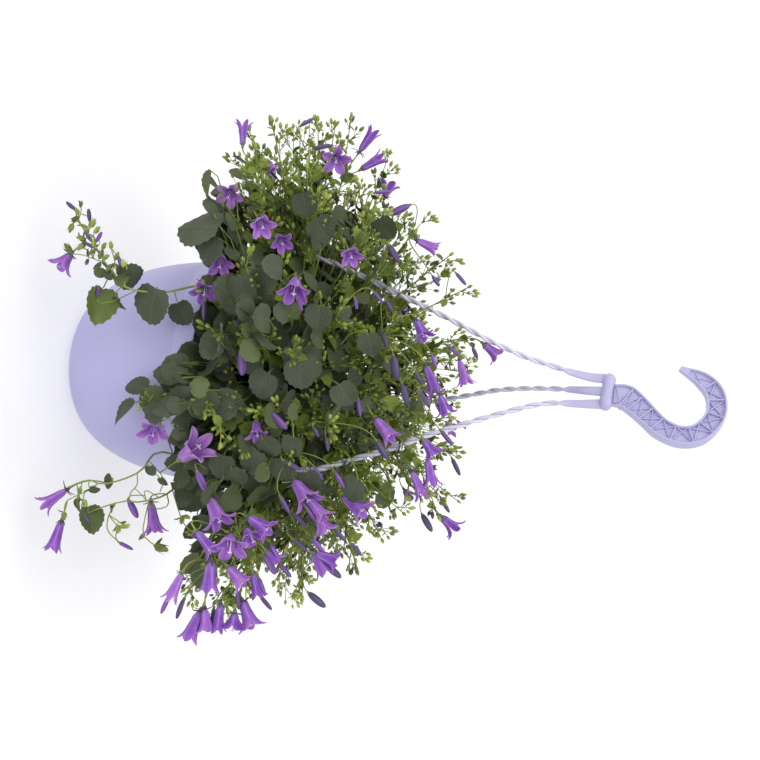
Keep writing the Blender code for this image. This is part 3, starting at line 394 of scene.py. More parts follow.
def makeMottleGroup():  # large soft patches and fine grain, both about a half
    group, start, end = newGroup(
        "mottle",
        [("Patch Scale", "Float", 20.0), ("Grain Scale", "Float", 400.0)],
        [("Patches", "Float"), ("Grain", "Float")],
    )
    place = addNode(group, "TexCoord").outputs["Object"]
    for scale, name, detail in (("Patch Scale", "Patches", 2.0), ("Grain Scale", "Grain", 3.0)):
        values = {"Vector": place, "Detail": detail, "Scale": start.outputs[scale]}
        feed(group, end, {name: addNode(group, "TexNoise", values).outputs["Fac"]})
    return group


def makeVeinGroup():  # a midrib and side veins on a map whose y runs from stalk to tip
    group, start, end = newGroup(
        "leafVeins",
        [("Map", "Vector", None), ("Veins", "Float", 6.0), ("Rise", "Float", 0.9)],
        [("Veins", "Float"), ("Between", "Float")],
    )
    parts = addNode(group, "SeparateXYZ", {"Vector": start.outputs["Map"]}).outputs
    aside = awayFrom(group, parts["X"], 0.5)
    midrib = rangeOf(group, aside, 0.008, 0.032, 1.0, 0.0)
    along = maths(group, "SUBTRACT", parts["Y"], maths(group, "MULTIPLY", aside, start.outputs["Rise"]))
    swing = maths(group, "MULTIPLY", maths(group, "MULTIPLY", along, start.outputs["Veins"]), math.pi)
    wave = maths(group, "ABSOLUTE", maths(group, "SINE", swing))
    sideVeins = rangeOf(group, wave, 0.05, 0.30, 0.75, 0.0)
    feed(group, end, {"Veins": maths(group, "MAXIMUM", midrib, sideVeins), "Between": wave})
    return group


mottle = makeMottleGroup()
leafVeins = makeVeinGroup()


def newMaterial(name):
    material = bpy.data.materials.new(name)
    material.use_nodes = True
    tree = material.node_tree
    return material, tree, tree.nodes["Principled BSDF"]


def addGroup(tree, group, **values):
    node = tree.nodes.new("ShaderNodeGroup")
    node.node_tree = group
    return feed(tree, node, {key.replace("_", " "): value for key, value in values.items()}).outputs


def mapOf(tree, name):
    return addNode(tree, "UVMap", uv_map=name).outputs["UV"]


def partsOf(tree, name):
    return addNode(tree, "SeparateXYZ", {"Vector": mapOf(tree, name)}).outputs


def toneOf(tree):
    return addNode(tree, "Attribute", attribute_name="tone").outputs["Fac"]


def finishSurface(tree, surface, colour, roughness, specular=None, **extra):
    values = {"Base Color": colour, "Roughness": roughness}
    if specular is not None:
        values["Specular IOR Level"] = specular
    feed(tree, surface, values | {key.replace("_", " "): value for key, value in extra.items()})


def addBump(tree, surface, height, strength, distance):
    bump = addNode(tree, "Bump", {"Strength": strength, "Distance": distance, "Height": height})
    feed(tree, surface, {"Normal": bump.outputs["Normal"]})


def letLightThrough(tree, surface, colour, share):  # thin tissue that light shines through
    through = addNode(tree, "BsdfTranslucent", {"Color": colour})
    both = addNode(tree, "MixShader", {0: share, 1: surface.outputs[0], 2: through.outputs[0]})
    feed(tree, tree.nodes["Material Output"], {"Surface": both.outputs[0]})


def makePlastic(name, light, dark, roughness, grooveMap=None):
    material, tree, surface = newMaterial(name)
    cloud = addGroup(tree, mottle, Patch_Scale=14.0, Grain_Scale=900.0)
    colour = blendColours(tree, rangeOf(tree, cloud["Patches"], 0.35, 0.65), dark + (1.0,), light + (1.0,))
    if grooveMap:  # painted shade: a thin dark line in the groove along the middle of each flat side, where the twist lies in shade; and a plain tongue
        parts = partsOf(tree, grooveMap)
        aside = awayFrom(tree, awayFrom(tree, parts["X"], 0.5), 0.25)
        # painted shade: where the dark line lies in each flat side's groove
        line = rangeOf(tree, aside, 0.012, 0.055, 0.58, 0.0)
        line = maths(tree, "MULTIPLY", line, rangeOf(tree, parts["Y"], 0.86, 0.91, 1.0, 0.0))
        tongue = rangeOf(tree, parts["Y"], 0.84, 0.93, 0.0, 0.8)
        colour = blendColours(tree, tongue, colour, (0.400, 0.380, 0.610, 1.0))
        colour = blendColours(tree, line, colour, (0.150, 0.130, 0.330, 1.0))
    gloss = rangeOf(tree, cloud["Grain"], 0.3, 0.7, roughness - 0.05, roughness + 0.07)
    finishSurface(tree, surface, colour, gloss, 0.4)
    addBump(tree, surface, cloud["Grain"], 0.10, 0.0004)
    return material


def shadeOf(tree, share, shades):  # a colour between those of the list
    ramp = addNode(tree, "ValToRGB", {"Fac": share})
    points = ramp.color_ramp.elements
    while len(points) < len(shades):
        points.new(0.5)
    for point, (spot, colour) in zip(points, shades):
        point.position = spot
        point.color = colour + (1.0,)
    return ramp.outputs["Color"]


def makeLeafMaterial(name, shades, veinColour, roughness, through):
    material, tree, surface = newMaterial(name)
    cloud = addGroup(tree, mottle, Patch_Scale=60.0, Grain_Scale=900.0)
    veins = addGroup(tree, leafVeins, Map=mapOf(tree, "leafMap"), Veins=4.6, Rise=1.3)
    green = shadeOf(tree, toneOf(tree), shades)
    darker = blendColours(tree, 1.0, green, (0.78, 0.80, 0.76, 1.0), "MULTIPLY")
    blade = blendColours(tree, rangeOf(tree, cloud["Patches"], 0.35, 0.65), darker, green)
    colour = blendColours(tree, maths(tree, "MULTIPLY", veins["Veins"], 0.26), blade, veinColour + (1.0,))
    finishSurface(tree, surface, colour, roughness, 0.35)
    puffed = maths(tree, "SUBTRACT", veins["Between"], veins["Veins"])
    addBump(tree, surface, puffed, 0.28, 0.0005)
    letLightThrough(tree, surface, colour, through)
    return material


def makeStemMaterial(name, *shades):
    material, tree, surface = newMaterial(name)
    cloud = addGroup(tree, mottle, Patch_Scale=90.0, Grain_Scale=1200.0)
    patches = rangeOf(tree, cloud["Patches"], 0.3, 0.7, -0.2, 0.2)
    share = maths(tree, "ADD", toneOf(tree), patches, clamp=True)
    finishSurface(tree, surface, shadeOf(tree, share, shades), 0.55, 0.3)
    addBump(tree, surface, cloud["Grain"], 0.15, 0.0003)
    return material


def makePetalMaterial():
    material, tree, surface = newMaterial("petalViolet")
    parts = partsOf(tree, "petalMap")
    cloud = addGroup(tree, mottle, Patch_Scale=140.0, Grain_Scale=1500.0)
    aside = awayFrom(tree, parts["X"], 0.5)
    midrib = rangeOf(tree, aside, 0.02, 0.09, 1.0, 0.0)
    streaks = maths(tree, "SINE", maths(tree, "MULTIPLY", parts["X"], 40.0))
    streaks = rangeOf(tree, streaks, 0.2, 1.0, 0.0, 0.35)
    lines = maths(tree, "MAXIMUM", maths(tree, "MULTIPLY", midrib, 0.55), streaks)
    patches = rangeOf(tree, cloud["Patches"], 0.3, 0.7, -0.10, 0.14)
    towardsTip = rangeOf(tree, parts["Y"], 0.25, 0.90, -0.06, 0.20)
    share = maths(tree, "ADD", patches, towardsTip)
    share = maths(tree, "ADD", maths(tree, "MULTIPLY", toneOf(tree), 0.72), share, clamp=True)
    body = shadeOf(tree, share, (
        (0.0, (0.205, 0.075, 0.520)), (0.35, (0.330, 0.115, 0.610)), (0.70, (0.520, 0.225, 0.730)),
        (1.0, (0.700, 0.390, 0.820)),
    ))
    paleBase = rangeOf(tree, parts["Y"], 0.08, 0.36, 0.35, 0.0)
    body = blendColours(tree, paleBase, body, (0.62, 0.46, 0.80, 1.0))
    paleEdge = rangeOf(tree, aside, 0.33, 0.48, 0.0, 0.55)
    body = blendColours(tree, paleEdge, body, (0.78, 0.47, 0.90, 1.0))
    colour = blendColours(tree, maths(tree, "MULTIPLY", lines, 0.80), body, (0.150, 0.030, 0.390, 1.0))
    finishSurface(tree, surface, colour, 0.55, 0.25, Sheen_Weight=0.15)
    addBump(tree, surface, lines, -0.35, 0.0004)
    letLightThrough(tree, surface, colour, 0.32)
    return material


def makeBudMaterial():
    material, tree, surface = newMaterial("budViolet")
    parts, tone = partsOf(tree, "petalMap"), toneOf(tree)
    folds = maths(tree, "ABSOLUTE", maths(tree, "SINE", maths(tree, "MULTIPLY", parts["X"], 5.0 * math.pi)))
    folds = maths(tree, "POWER", folds, 2.0)
    dark = blendColours(tree, tone, (0.048, 0.034, 0.092, 1.0), (0.150, 0.052, 0.330, 1.0))
    light = blendColours(tree, tone, (0.088, 0.060, 0.150, 1.0), (0.290, 0.115, 0.510, 1.0))
    greenFoot = rangeOf(tree, parts["Y"], 0.0, 0.16, 0.6, 0.0)
    colour = blendColours(tree, folds, dark, light)
    finishSurface(tree, surface, blendColours(tree, greenFoot, colour, (0.16, 0.20, 0.08, 1.0)), 0.5)
    addBump(tree, surface, folds, 0.3, 0.0005)
    return material


def makeSoilMaterial():
    material, tree, surface = newMaterial("soilBrown")
    grain = addGroup(tree, mottle, Patch_Scale=70.0, Grain_Scale=500.0)["Grain"]
    share = rangeOf(tree, grain, 0.3, 0.7)
    colour = blendColours(tree, share, (0.012, 0.008, 0.006, 1.0), (0.075, 0.048, 0.030, 1.0))
    finishSurface(tree, surface, colour, 0.95)
    addBump(tree, surface, grain, 0.9, 0.0015)
    return material


potLilac = makePlastic("potLilac", (0.445, 0.430, 0.700), (0.425, 0.405, 0.665), 0.42)
hookLilac = makePlastic("hookLilac", (0.465, 0.445, 0.685), (0.438, 0.418, 0.648), 0.36)
strandLilac = makePlastic("strandLilac", (0.700, 0.680, 0.805), (0.630, 0.608, 0.745), 0.34, "strandMap")
leafGreen = makeLeafMaterial(
    "leafGreen",
    ((0.0, (0.092, 0.110, 0.074)), (0.45, (0.104, 0.127, 0.072)), (0.8, (0.146, 0.190, 0.064)),
     (1.0, (0.240, 0.310, 0.072))),
    (0.160, 0.200, 0.115), 0.6, 0.26,
)
bractGreen = makeLeafMaterial(
    "bractGreen",
    ((0.0, (0.088, 0.125, 0.046)), (0.5, (0.188, 0.258, 0.038)), (1.0, (0.320, 0.405, 0.062))),
    (0.26, 0.33, 0.12), 0.55, 0.28,
)
stemGreen = makeStemMaterial("stemGreen", (0.0, (0.122, 0.152, 0.042)), (1.0, (0.322, 0.395, 0.074)))
budGreen = makeStemMaterial(
    "budGreen", (0.0, (0.070, 0.054, 0.090)), (0.25, (0.140, 0.172, 0.050)),
    (0.6, (0.246, 0.316, 0.052)), (1.0, (0.420, 0.490, 0.120)),
)
calyxGreen = makeStemMaterial("calyxGreen", (0.0, (0.072, 0.060, 0.082)), (1.0, (0.200, 0.262, 0.084)))
stylePale = makeStemMaterial("stylePale", (0.0, (0.62, 0.48, 0.78)), (1.0, (0.88, 0.80, 0.86)))
petalViolet = makePetalMaterial()
budViolet = makeBudMaterial()
soilBrown = makeSoilMaterial()
print("materials made")

pot = {
    "rimRadius": 0.125,
    "height": 0.165,
    "baseRadius": 0.0535,
    "wall": 0.002,
    "bandHeight": 0.023,
    "bandStep": 0.003,
    "sides": 144,
    "wallSteps": 16,
    "innerSteps": 8,
}
soil = {
    "top": 0.150, "gap": 0.0003, "lumps": 0.0016, "crumbs": 260, "sides": 72, "rings": 15, "wallSteps": 6,
    "crown": 0.003,  # the middle stands this much higher than the edge
    "crumbSize": (0.0008, 0.0026),
}
bandFoot = pot["height"] - pot["bandHeight"]
crown = Vector((0.0, 0.0, soil["top"]))


def wallLine(inset, steps):  # from the foot up: a quarter of an ellipse
    wallRadius = pot["rimRadius"] - 2.0 * pot["bandStep"] - inset
    line = []
    for step in range(steps + 1):
        angle = 0.5 * math.pi * step / steps
        radius = pot["baseRadius"] + (wallRadius - pot["baseRadius"]) * math.sin(angle)
        line.append((radius, inset + (bandFoot - inset) * (1.0 - math.cos(angle))))
    return line


def turnedBody(name, profile, sides):  # a disc, extruded and widened ring by ring
    radius, height = profile[0]
    place = (0.0, 0.0, height)
    body = added(
        bpy.ops.mesh.primitive_circle_add, vertices=sides, radius=radius, fill_type="NGON", location=place
    )
    bpy.ops.object.transform_apply(location=True, rotation=True, scale=True)
    bpy.ops.object.mode_set(mode="EDIT")
    bpy.ops.mesh.select_all(action="SELECT")
    for nextRadius, nextHeight in profile[1:]:
        bpy.ops.mesh.extrude_region_move(TRANSFORM_OT_translate={"value": (0.0, 0.0, nextHeight - height)})
        share = nextRadius / radius
        bpy.ops.transform.resize(value=(share, share, 1.0), center_override=(0.0, 0.0, nextHeight))
        radius, height = nextRadius, nextHeight
    bpy.ops.mesh.select_all(action="SELECT")
    bpy.ops.mesh.normals_make_consistent(inside=False)
    bpy.ops.object.mode_set(mode="OBJECT")
    body.name = name
    return body


def makePot():
    rim, step, wall = pot["rimRadius"], pot["bandStep"], pot["wall"]
    profile = [(pot["baseRadius"] - 0.0012, 0.0)] + wallLine(0.0, pot["wallSteps"])
    profile[1] = (pot["baseRadius"] - 0.0003, 0.0004)
    profile += [
        (rim - 2.0 * step + 0.0004, bandFoot + 0.0002),
        (rim - step - 0.0005, bandFoot + 0.0006),
        (rim - step, bandFoot + 0.0014),
        (rim - 0.0004, pot["height"] - 0.0030),
        (rim, pot["height"] - 0.0014),
        (rim - 0.0002, pot["height"] - 0.0005),
        (rim - 0.0009, pot["height"]),
        (rim - wall + 0.0003, pot["height"]),
        (rim - wall - 0.0002, pot["height"] - 0.0008),
        (rim - step - wall, bandFoot + 0.0025),
    ]
    profile += wallLine(wall, pot["innerSteps"])[::-1]
    body = turnedBody("pot_body", profile, pot["sides"])
    smooth(body, 38)
    finishPiece(body, potLilac, ("pot",))


def makeSoil():
    inset = pot["wall"] + soil["gap"]
    edge = pot["rimRadius"] - pot["bandStep"] - inset - 0.0006
    top, rings = soil["top"], soil["rings"]
    profile = wallLine(inset, soil["wallSteps"]) + [(edge, bandFoot + 0.0034), (edge, top - 0.0032)]
    for ring in range(1, rings):
        share = 1.0 - ring / rings
        profile.append((edge * share, top - soil["crown"] * share))
    body = turnedBody("potting_soil", profile, soil["sides"])
    for vertex in body.data.vertices:
        spot = vertex.co
        level = math.hypot(spot.x, spot.y)
        if spot.z > top - 0.0031 and level < edge * 0.97:
            lift = noise.noise(spot * 90.0) + 0.6 * noise.noise(spot * 260.0)
            spot.z += soil["lumps"] * (lift + 0.3)
    smooth(body, 50)
    crumb = added(bpy.ops.mesh.primitive_ico_sphere_add, subdivisions=1, radius=1.0)
    places = []
    for index in range(soil["crumbs"]):
        pick = draw("crumb", index)
        level = edge * 0.96 * math.sqrt(pick.random())
        turn = pick.uniform(0.0, 2.0 * math.pi)
        height = top + pick.uniform(-0.0005, 0.0015)
        spot = Vector((level * math.cos(turn), level * math.sin(turn), height))
        size = pick.uniform(*soil["crumbSize"])
        shape = Matrix.Diagonal((1.0, pick.uniform(0.6, 1.0), pick.uniform(0.5, 0.9), 1.0))
        places.append((pointed(spot, anyWay(pick).normalized(), size) @ shape, 0.5))
    crumbs = copiesOf(crumb, places, "crumbs")
    discard(crumb)
    setTone(body, 0.5)
    finishPiece(joined([body, crumbs], "potting_soil"), soilBrown, ("soil",))


makePot()
makeSoil()
print("pot and soil made")

hook = {
    # middle line up from the collar's seam, sideways, and the plate's width, in millimetres
    "line": (
        (-6.0, -0.5, 22.0), (8.0, 0.8, 25.0), (14.2, 4.8, 24.5), (23.6, 13.9, 22.0), (33.0, 24.2, 20.0),
        (43.9, 34.8, 19.5), (60.4, 41.8, 19.0), (77.0, 38.6, 19.0), (89.8, 25.2, 18.5), (95.2, 10.2, 18.5),
        (93.2, -8.2, 17.5), (82.0, -23.0, 15.0), (62.3, -34.6, 4.6),
    ),
    "seam": 0.563,  # height of the collar's seam over the pot's foot
    "collarHalf": 0.0206,
    "collarRadius": 0.0067,
    "collarDrop": -0.0076,
    "collarTurn": 97.0,
    "collarWaist": 0.14,
    "collarSteps": 20,
    "collarSides": 28,
    "thinTip": 0.045,  # the plate grows thinner over this length to its tip
    "aside": 4.5,
    "tipThickness": 0.35,  # share of the thickness at the tip
    "thickness": 0.0116,
    "flange": 0.0019,
    "hollow": (0.030, 0.965),  # shares of the line between which the plate is hollowed to its web
    "web": 0.0044,
    "webTo": 0.985,
    "webEdge": 0.0002,
    "neck": (0.55, 0.036),  # the plate's share of its thickness at the collar, and how far up it grows
    "edge": 0.0005,
    "ribs": (0.12, 0.21, 0.30, 0.385, 0.47, 0.55, 0.63, 0.71, 0.79, 0.87),
    "cellsFrom": 0.036,
    "cellsTo": 0.955,
    "lining": 0.0012,  # how far ribs and web end within the outline
    "ribWidth": 0.0014,
    "crossWidth": 0.0010,
    "crossDepth": (0.0088, 0.0084),
    "steps": 7,
}


def hookStation(share):
    points = [Vector((side + hook["aside"], rise, width)) * 0.001 for rise, side, width in hook["line"]]
    place = min(share, 0.99999) * (len(points) - 1)
    index = int(place)
    t = place - index
    a, b, c, d = withEnds(points)[index:index + 4]
    spot = smoothPoint(a, b, c, d, t)
    slope = 0.5 * ((c - a) + (2.0 * a - 5.0 * b + 4.0 * c - d) * (2.0 * t)
                   + (3.0 * b - a - 3.0 * c + d) * (3.0 * t * t))
    return Vector((spot.x, spot.y)), spot.z / 2.0, Vector((slope.y, -slope.x)).normalized()


def hookOutline(inset, first, last):
    steps = round((last - first) * hook["steps"] * (len(hook["line"]) - 1))
    left, right = [], []
    for step in range(steps + 1):
        middle, half, square = hookStation(first + (last - first) * step / steps)
        left.append(middle - square * (half - inset))
        right.append(middle + square * (half - inset))
    return left + right[::-1]


def plate(name, outlines, thickness, edge):
    curve = bpy.data.curves.new(name, "CURVE")
    curve.dimensions = "2D"
    curve.fill_mode = "BOTH"
    curve.extrude = thickness / 2.0 - edge
    curve.bevel_depth = edge
    curve.bevel_resolution = 1
    curve.offset = -edge
    for outline in outlines:
        spline = curve.splines.new("POLY")
        spline.points.add(len(outline) - 1)
        for point, place in zip(spline.points, outline):
            point.co = (place.x, place.y, 0.0, 1.0)
        spline.use_cyclic_u = True
    thing = meshOf(curve, name)
    edit(thing, merged(doubles), turnOut)
    thing.data.transform(Matrix.Rotation(math.pi / 2.0, 4, "X"))
    thing.data.transform(Matrix.Translation((0.0, 0.0, hook["seam"])))
    return thing


def roundedBox(name, size, edge, segments):
    block = added(bpy.ops.mesh.primitive_cube_add, size=1.0, scale=size)
    bpy.ops.object.transform_apply(location=True, rotation=True, scale=True)
    bevel = block.modifiers.new("edge", "BEVEL")
    bevel.width = edge
    bevel.segments = segments
    applyAll(block)
    block.name = name
    return block


def hookBar(start, end, width, depth):
    way = end - start
    bar = roundedBox("bar", (way.length, depth, width), width * 0.3, 1)
    middle = (start + end) / 2.0
    bar.data.transform(Matrix.Rotation(-math.atan2(way.y, way.x), 4, "Y"))
    bar.data.transform(Matrix.Translation((middle.x, 0.0, middle.y + hook["seam"])))
    return bar


def makeCollar():  # a bar with swollen round ends
    half, radius = hook["collarHalf"], hook["collarRadius"]
    profile = []
    steps = hook["collarSteps"]
    for step in range(steps + 1):
        place = -half * math.cos(math.pi * step / steps)
        toEnd = half - abs(place)
        bulge = math.sqrt(max(1.0 - (1.0 - min(toEnd / radius, 1.0)) ** 2, 0.0))
        waist = 1.0 - hook["collarWaist"] * math.exp(-((place / (0.45 * half)) ** 2))
        profile.append((max(radius * bulge * waist, 0.0002), place))
    collar = turnedBody("collar", profile, hook["collarSides"])
    lie = Matrix.Rotation(math.radians(hook["collarTurn"]), 4, "Y")
    collar.data.transform(lie @ Matrix.Diagonal((1.0, 1.08, 1.0, 1.0)))
    collar.data.transform(Matrix.Translation((0.0006, 0.0, hook["seam"] + hook["collarDrop"])))
    return collar


def makeHook():
    flange = plate(
        "flange", [hookOutline(0.0, 0.0, 1.0), hookOutline(hook["flange"], *hook["hollow"])],
        hook["thickness"], hook["edge"],
    )
    lining, depth = hook["lining"], hook["crossDepth"]
    web = plate("web", [hookOutline(lining, 0.0, hook["webTo"])], hook["web"], hook["webEdge"])
    pieces = [flange, web]
    sides = []
    for share in (hook["cellsFrom"],) + hook["ribs"] + (hook["cellsTo"],):
        middle, half, square = hookStation(share)
        sides.append((middle - square * (half - lining), middle + square * (half - lining)))
    for left, right in sides[1:-1]:
        pieces.append(hookBar(left, right, hook["ribWidth"], hook["thickness"] - hook["ribWidth"]))
    for low, high in zip(sides, sides[1:]):
        pieces.append(hookBar(low[0], high[1], hook["crossWidth"], depth[0]))
        pieces.append(hookBar(low[1], high[0], hook["crossWidth"], depth[1]))
    body = joined(pieces, "hanging_hook")
    tip = hookStation(1.0)[0]
    neckShare, neckEnd = hook["neck"]
    for vertex in body.data.vertices:
        rise = vertex.co.z - hook["seam"]
        away = math.hypot(vertex.co.x - tip.x, rise - tip.y)
        vertex.co.y *= mix(hook["tipThickness"], 1.0, min(away / hook["thinTip"], 1.0))
        if rise < neckEnd and vertex.co.x > -0.02:
            vertex.co.y *= mix(neckShare, 1.0, min(max(rise, 0.0) / neckEnd, 1.0))
    body = joined([body, makeCollar()], "hanging_hook")
    smooth(body, 35)
    finishPiece(body, hookLilac, ("hook",))


makeHook()
print("hook made")

strands = {
    "halfWidth": 0.0031,
    "halfThickness": 0.0027,
    "groove": 0.42,  # share by which the middle of each flat side is drawn in
    "pitch": 0.036,
    "pointsPerTurn": 20,
    "sides": 16,
    "tongue": 0.046,  # the smooth wide end at the collar
    "tongueWidth": 0.85,
    "tongueDepth": -0.25,
    "twistFrom": 0.8,  # share of the tongue's length at which the twist begins
    "clipWidth": 0.011,
    "clipInward": 0.0017,  # its middle lies this far inside the rim
    "clipEdge": 0.0008,
    "clipSlot": 0.0045,
    "clipLeg": 0.0028,
    "clipDrop": 0.007,
    "clipTop": 0.0032,
    "routes": {
        "strand_left": (
            (-89.7, -89.7, 167), (-92.6, -92.6, 200), (-92.4, -92.4, 235), (-87.0, -87.0, 272),
            (-75.0, -75.0, 312), (-57.0, -57.0, 368), (-44.8, -44.8, 405), (-34.6, -34.6, 433),
            (-27.6, -27.6, 455), (-21.6, -21.2, 477), (-18.4, -14.4, 499), (-15.8, -7.0, 520),
            (-14.4, -1.5, 540), (-14.4, -0.4, 553),
        ),
        "strand_right": (
            (122.6, -32.8, 167), (126.6, -33.9, 200), (126.2, -33.8, 235), (121.0, -32.4, 285),
            (108.0, -29.0, 314), (89.0, -23.8, 354), (73.4, -19.7, 379), (59.9, -16.0, 406),
            (50.2, -13.5, 426), (40.6, -10.8, 446), (31.9, -8.4, 465), (22.5, -5.0, 487),
            (17.4, -1.8, 507), (16.2, -0.4, 528), (15.0, 0.0, 552),
        ),
        "strand_back": (
            (-32.9, 122.7, 167), (-33.9, 126.6, 200), (-33.8, 126.2, 235), (-31.6, 118.0, 285),
            (-27.0, 103.0, 325), (-22.6, 85.1, 361), (-19.6, 67.2, 390), (-19.0, 54.9, 415),
            (-18.2, 41.5, 441), (-16.1, 32.3, 463), (-12.4, 22.6, 485), (-6.4, 11.0, 513),
            (-1.4, 3.0, 535), (0.2, 0.3, 553),
        ),
    },
}


def makeStrand(name):  # a grid rolled round the route: twisted, with a flat tongue at the collar
    points = [Vector(point) * 0.001 for point in strands["routes"][name]]
    route, length = smoothRoute(points, strands["pitch"] / strands["pointsPerTurn"])
    last = len(route) - 1
    strand = addedGrid(strands["sides"], last)
    strand.data.uv_layers[0].name = "strandMap"
    for vertex in strand.data.vertices:
        index = round((vertex.co.y + 1.0) / 2.0 * last)
        angle = math.pi * vertex.co.x
        way = (route[min(index + 1, last)] - route[max(index - 1, 0)]).normalized()
        toCollar = length * (1.0 - index / last)
        tongue = max(0.0, 1.0 - toCollar / strands["tongue"])
        twisted = max(0.0, toCollar - strands["twistFrom"] * strands["tongue"])
        twist = -2.0 * math.pi * twisted / strands["pitch"]
        across = (Vector((1.0, 0.0, 0.0)) - way * way.x).normalized()
        across.rotate(Matrix.Rotation(twist, 3, way))
        ridges = 1.0 - strands["groove"] * (1.0 - tongue) * abs(math.sin(angle)) ** 3
        wide = strands["halfWidth"] * (1.0 + strands["tongueWidth"] * tongue) * math.cos(angle)
        thick = strands["halfThickness"] * (1.0 + strands["tongueDepth"] * tongue) * math.sin(angle)
        vertex.co = route[index] + across * wide + way.cross(across) * (thick * ridges)
    edit(strand, merged(doubles), (bpy.ops.mesh.fill_holes, {"sides": 0}), turnOut)
    body = joined([strand, makeClip(points[0])], name.replace("strand", "twisted_strand"))
    smooth(body, 50)
    finishPiece(body, strandLilac, (name,))


def makeClip(at):  # a block that straddles the rim, open below
    slotMiddle, slotWidth = pot["rimRadius"] - strands["clipInward"], strands["clipSlot"]
    roof = pot["height"] + soil["gap"]
    top, foot = roof + strands["clipTop"], pot["height"] - strands["clipDrop"]
    size = (slotWidth + 2.0 * strands["clipLeg"], strands["clipWidth"], top - foot)
    block = roundedBox("clip", size, strands["clipEdge"], 2)
    block.data.transform(Matrix.Translation((slotMiddle, 0.0, (top + foot) / 2.0)))
    cutter = added(
        bpy.ops.mesh.primitive_cube_add, size=1.0,
        scale=(slotWidth, 2.0 * strands["clipWidth"], 2.0 * strands["clipDrop"]),
        location=(slotMiddle, 0.0, roof - strands["clipDrop"]),
    )
    cut = block.modifiers.new("slot", "BOOLEAN")
    cut.operation = "DIFFERENCE"
    cut.object = cutter
    applyAll(block)
    discard(cutter)
    block.data.transform(Matrix.Rotation(math.atan2(at.y, at.x), 4, "Z"))
    return block


for strandName in strands["routes"]:
    makeStrand(strandName)
print("strands made")

# Where the plant's parts grow.

blooms = {
    # pixel of the middle, distance from the crown, mouth's angle in the picture, turn to the
    # viewer, width in millimetres, form
    "dome": (
        (243, 133, 0.275, -88, 0, 24, "long"), (229, 196, 0.215, 100, 50, 30, "star"),
        (262, 226, 0.225, 60, 45, 32, "star"), (282, 243, 0.205, 60, 50, 26, "star"),
        (220, 265, 0.185, 90, 45, 32, "star"), (204, 293, 0.170, 85, 45, 30, "star"),
        (294, 291, 0.225, 92, 35, 38, "star"), (336, 161, 0.265, 80, 55, 32, "star"),
        (367, 141, 0.285, -55, 0, 29, "long"), (372, 163, 0.275, -30, 0, 28, "long"),
        (427, 245, 0.285, 25, 0, 25, "bell"), (351, 256, 0.240, 70, 50, 28, "star"),
        (421, 330, 0.265, 65, 20, 27, "bell"), (431, 380, 0.265, 70, 10, 31, "long"),
        (463, 373, 0.285, 75, 5, 27, "long"), (492, 351, 0.292, 40, 0, 28, "bell"),
        (384, 429, 0.245, 50, 25, 32, "bell"), (444, 406, 0.285, 70, 0, 26, "bell"),
        (430, 449, 0.280, 55, 5, 26, "bell"), (430, 473, 0.285, 80, 0, 28, "long"),
        (418, 485, 0.281, 65, 0, 29, "long"), (450, 525, 0.300, 45, 0, 28, "bell"),
        (355, 505, 0.260, 35, 20, 34, "bell"), (317, 509, 0.250, 45, 20, 29, "long"),
        (325, 530, 0.264, 60, 5, 32, "star"), (328, 558, 0.280, 20, 5, 28, "bell"),
        (303, 493, 0.236, 50, 30, 36, "bell"), (257, 430, 0.200, 80, 35, 26, "bell"),
        (216, 513, 0.235, 60, 25, 36, "bell"), (260, 525, 0.255, 30, 15, 30, "bell"),
        (230, 549, 0.265, 85, 45, 38, "star"), (252, 539, 0.261, 55, 30, 30, "star"),
        (206, 543, 0.258, 50, 5, 28, "long"), (210, 576, 0.275, 92, 5, 32, "bell"),
        (176, 586, 0.282, 115, 0, 27, "long"), (237, 577, 0.278, 45, 10, 28, "bell"),
        (256, 585, 0.282, 75, 0, 26, "bell"), (194, 626, 0.300, 112, 15, 32, "bell"),
        (206, 622, 0.300, 84, 10, 26, "bell"), (219, 617, 0.298, 96, 0, 26, "long"),
        (233, 627, 0.304, 96, 8, 32, "star"), (248, 616, 0.298, 66, 15, 32, "bell"),
        (274, 560, 0.270, 50, 0, 28, "star"), (319, 562, 0.276, 60, 5, 30, "bell"),
        (153, 433, 0.170, 85, 45, 34, "star"), (192, 451, 0.185, -32, 35, 44, "bell"),
    ),
    "trailing": (  # with how far towards the viewer in place of the distance
        (62, 264, 0.150, 126, 16, 34, "star"), (54, 498, 0.150, 147, 5, 30, "long"),
        (57, 535, 0.150, 106, 8, 31, "long"), (153, 518, 0.140, 80, 10, 33, "long"),
    ),
    "behind": 12,
    "behindRise": (-2.0, 70.0),  # degrees over the level
    "behindReach": (0.235, 0.275),
    "palest": 0.040,  # the largest bloom is the palest
    "shapeSize": {"star": 0.00091, "bell": 0.001, "long": 0.00092},  # metres for each millimetre above
    "petalSteps": 6,
    "tubeRows": 5,
    "lobeRows": 7,
    "bendSteps": 20,
    "mergeGap": 0.003,  # of the bloom's width, where its petals meet
    "wall": 0.012,  # of the bloom's width
}
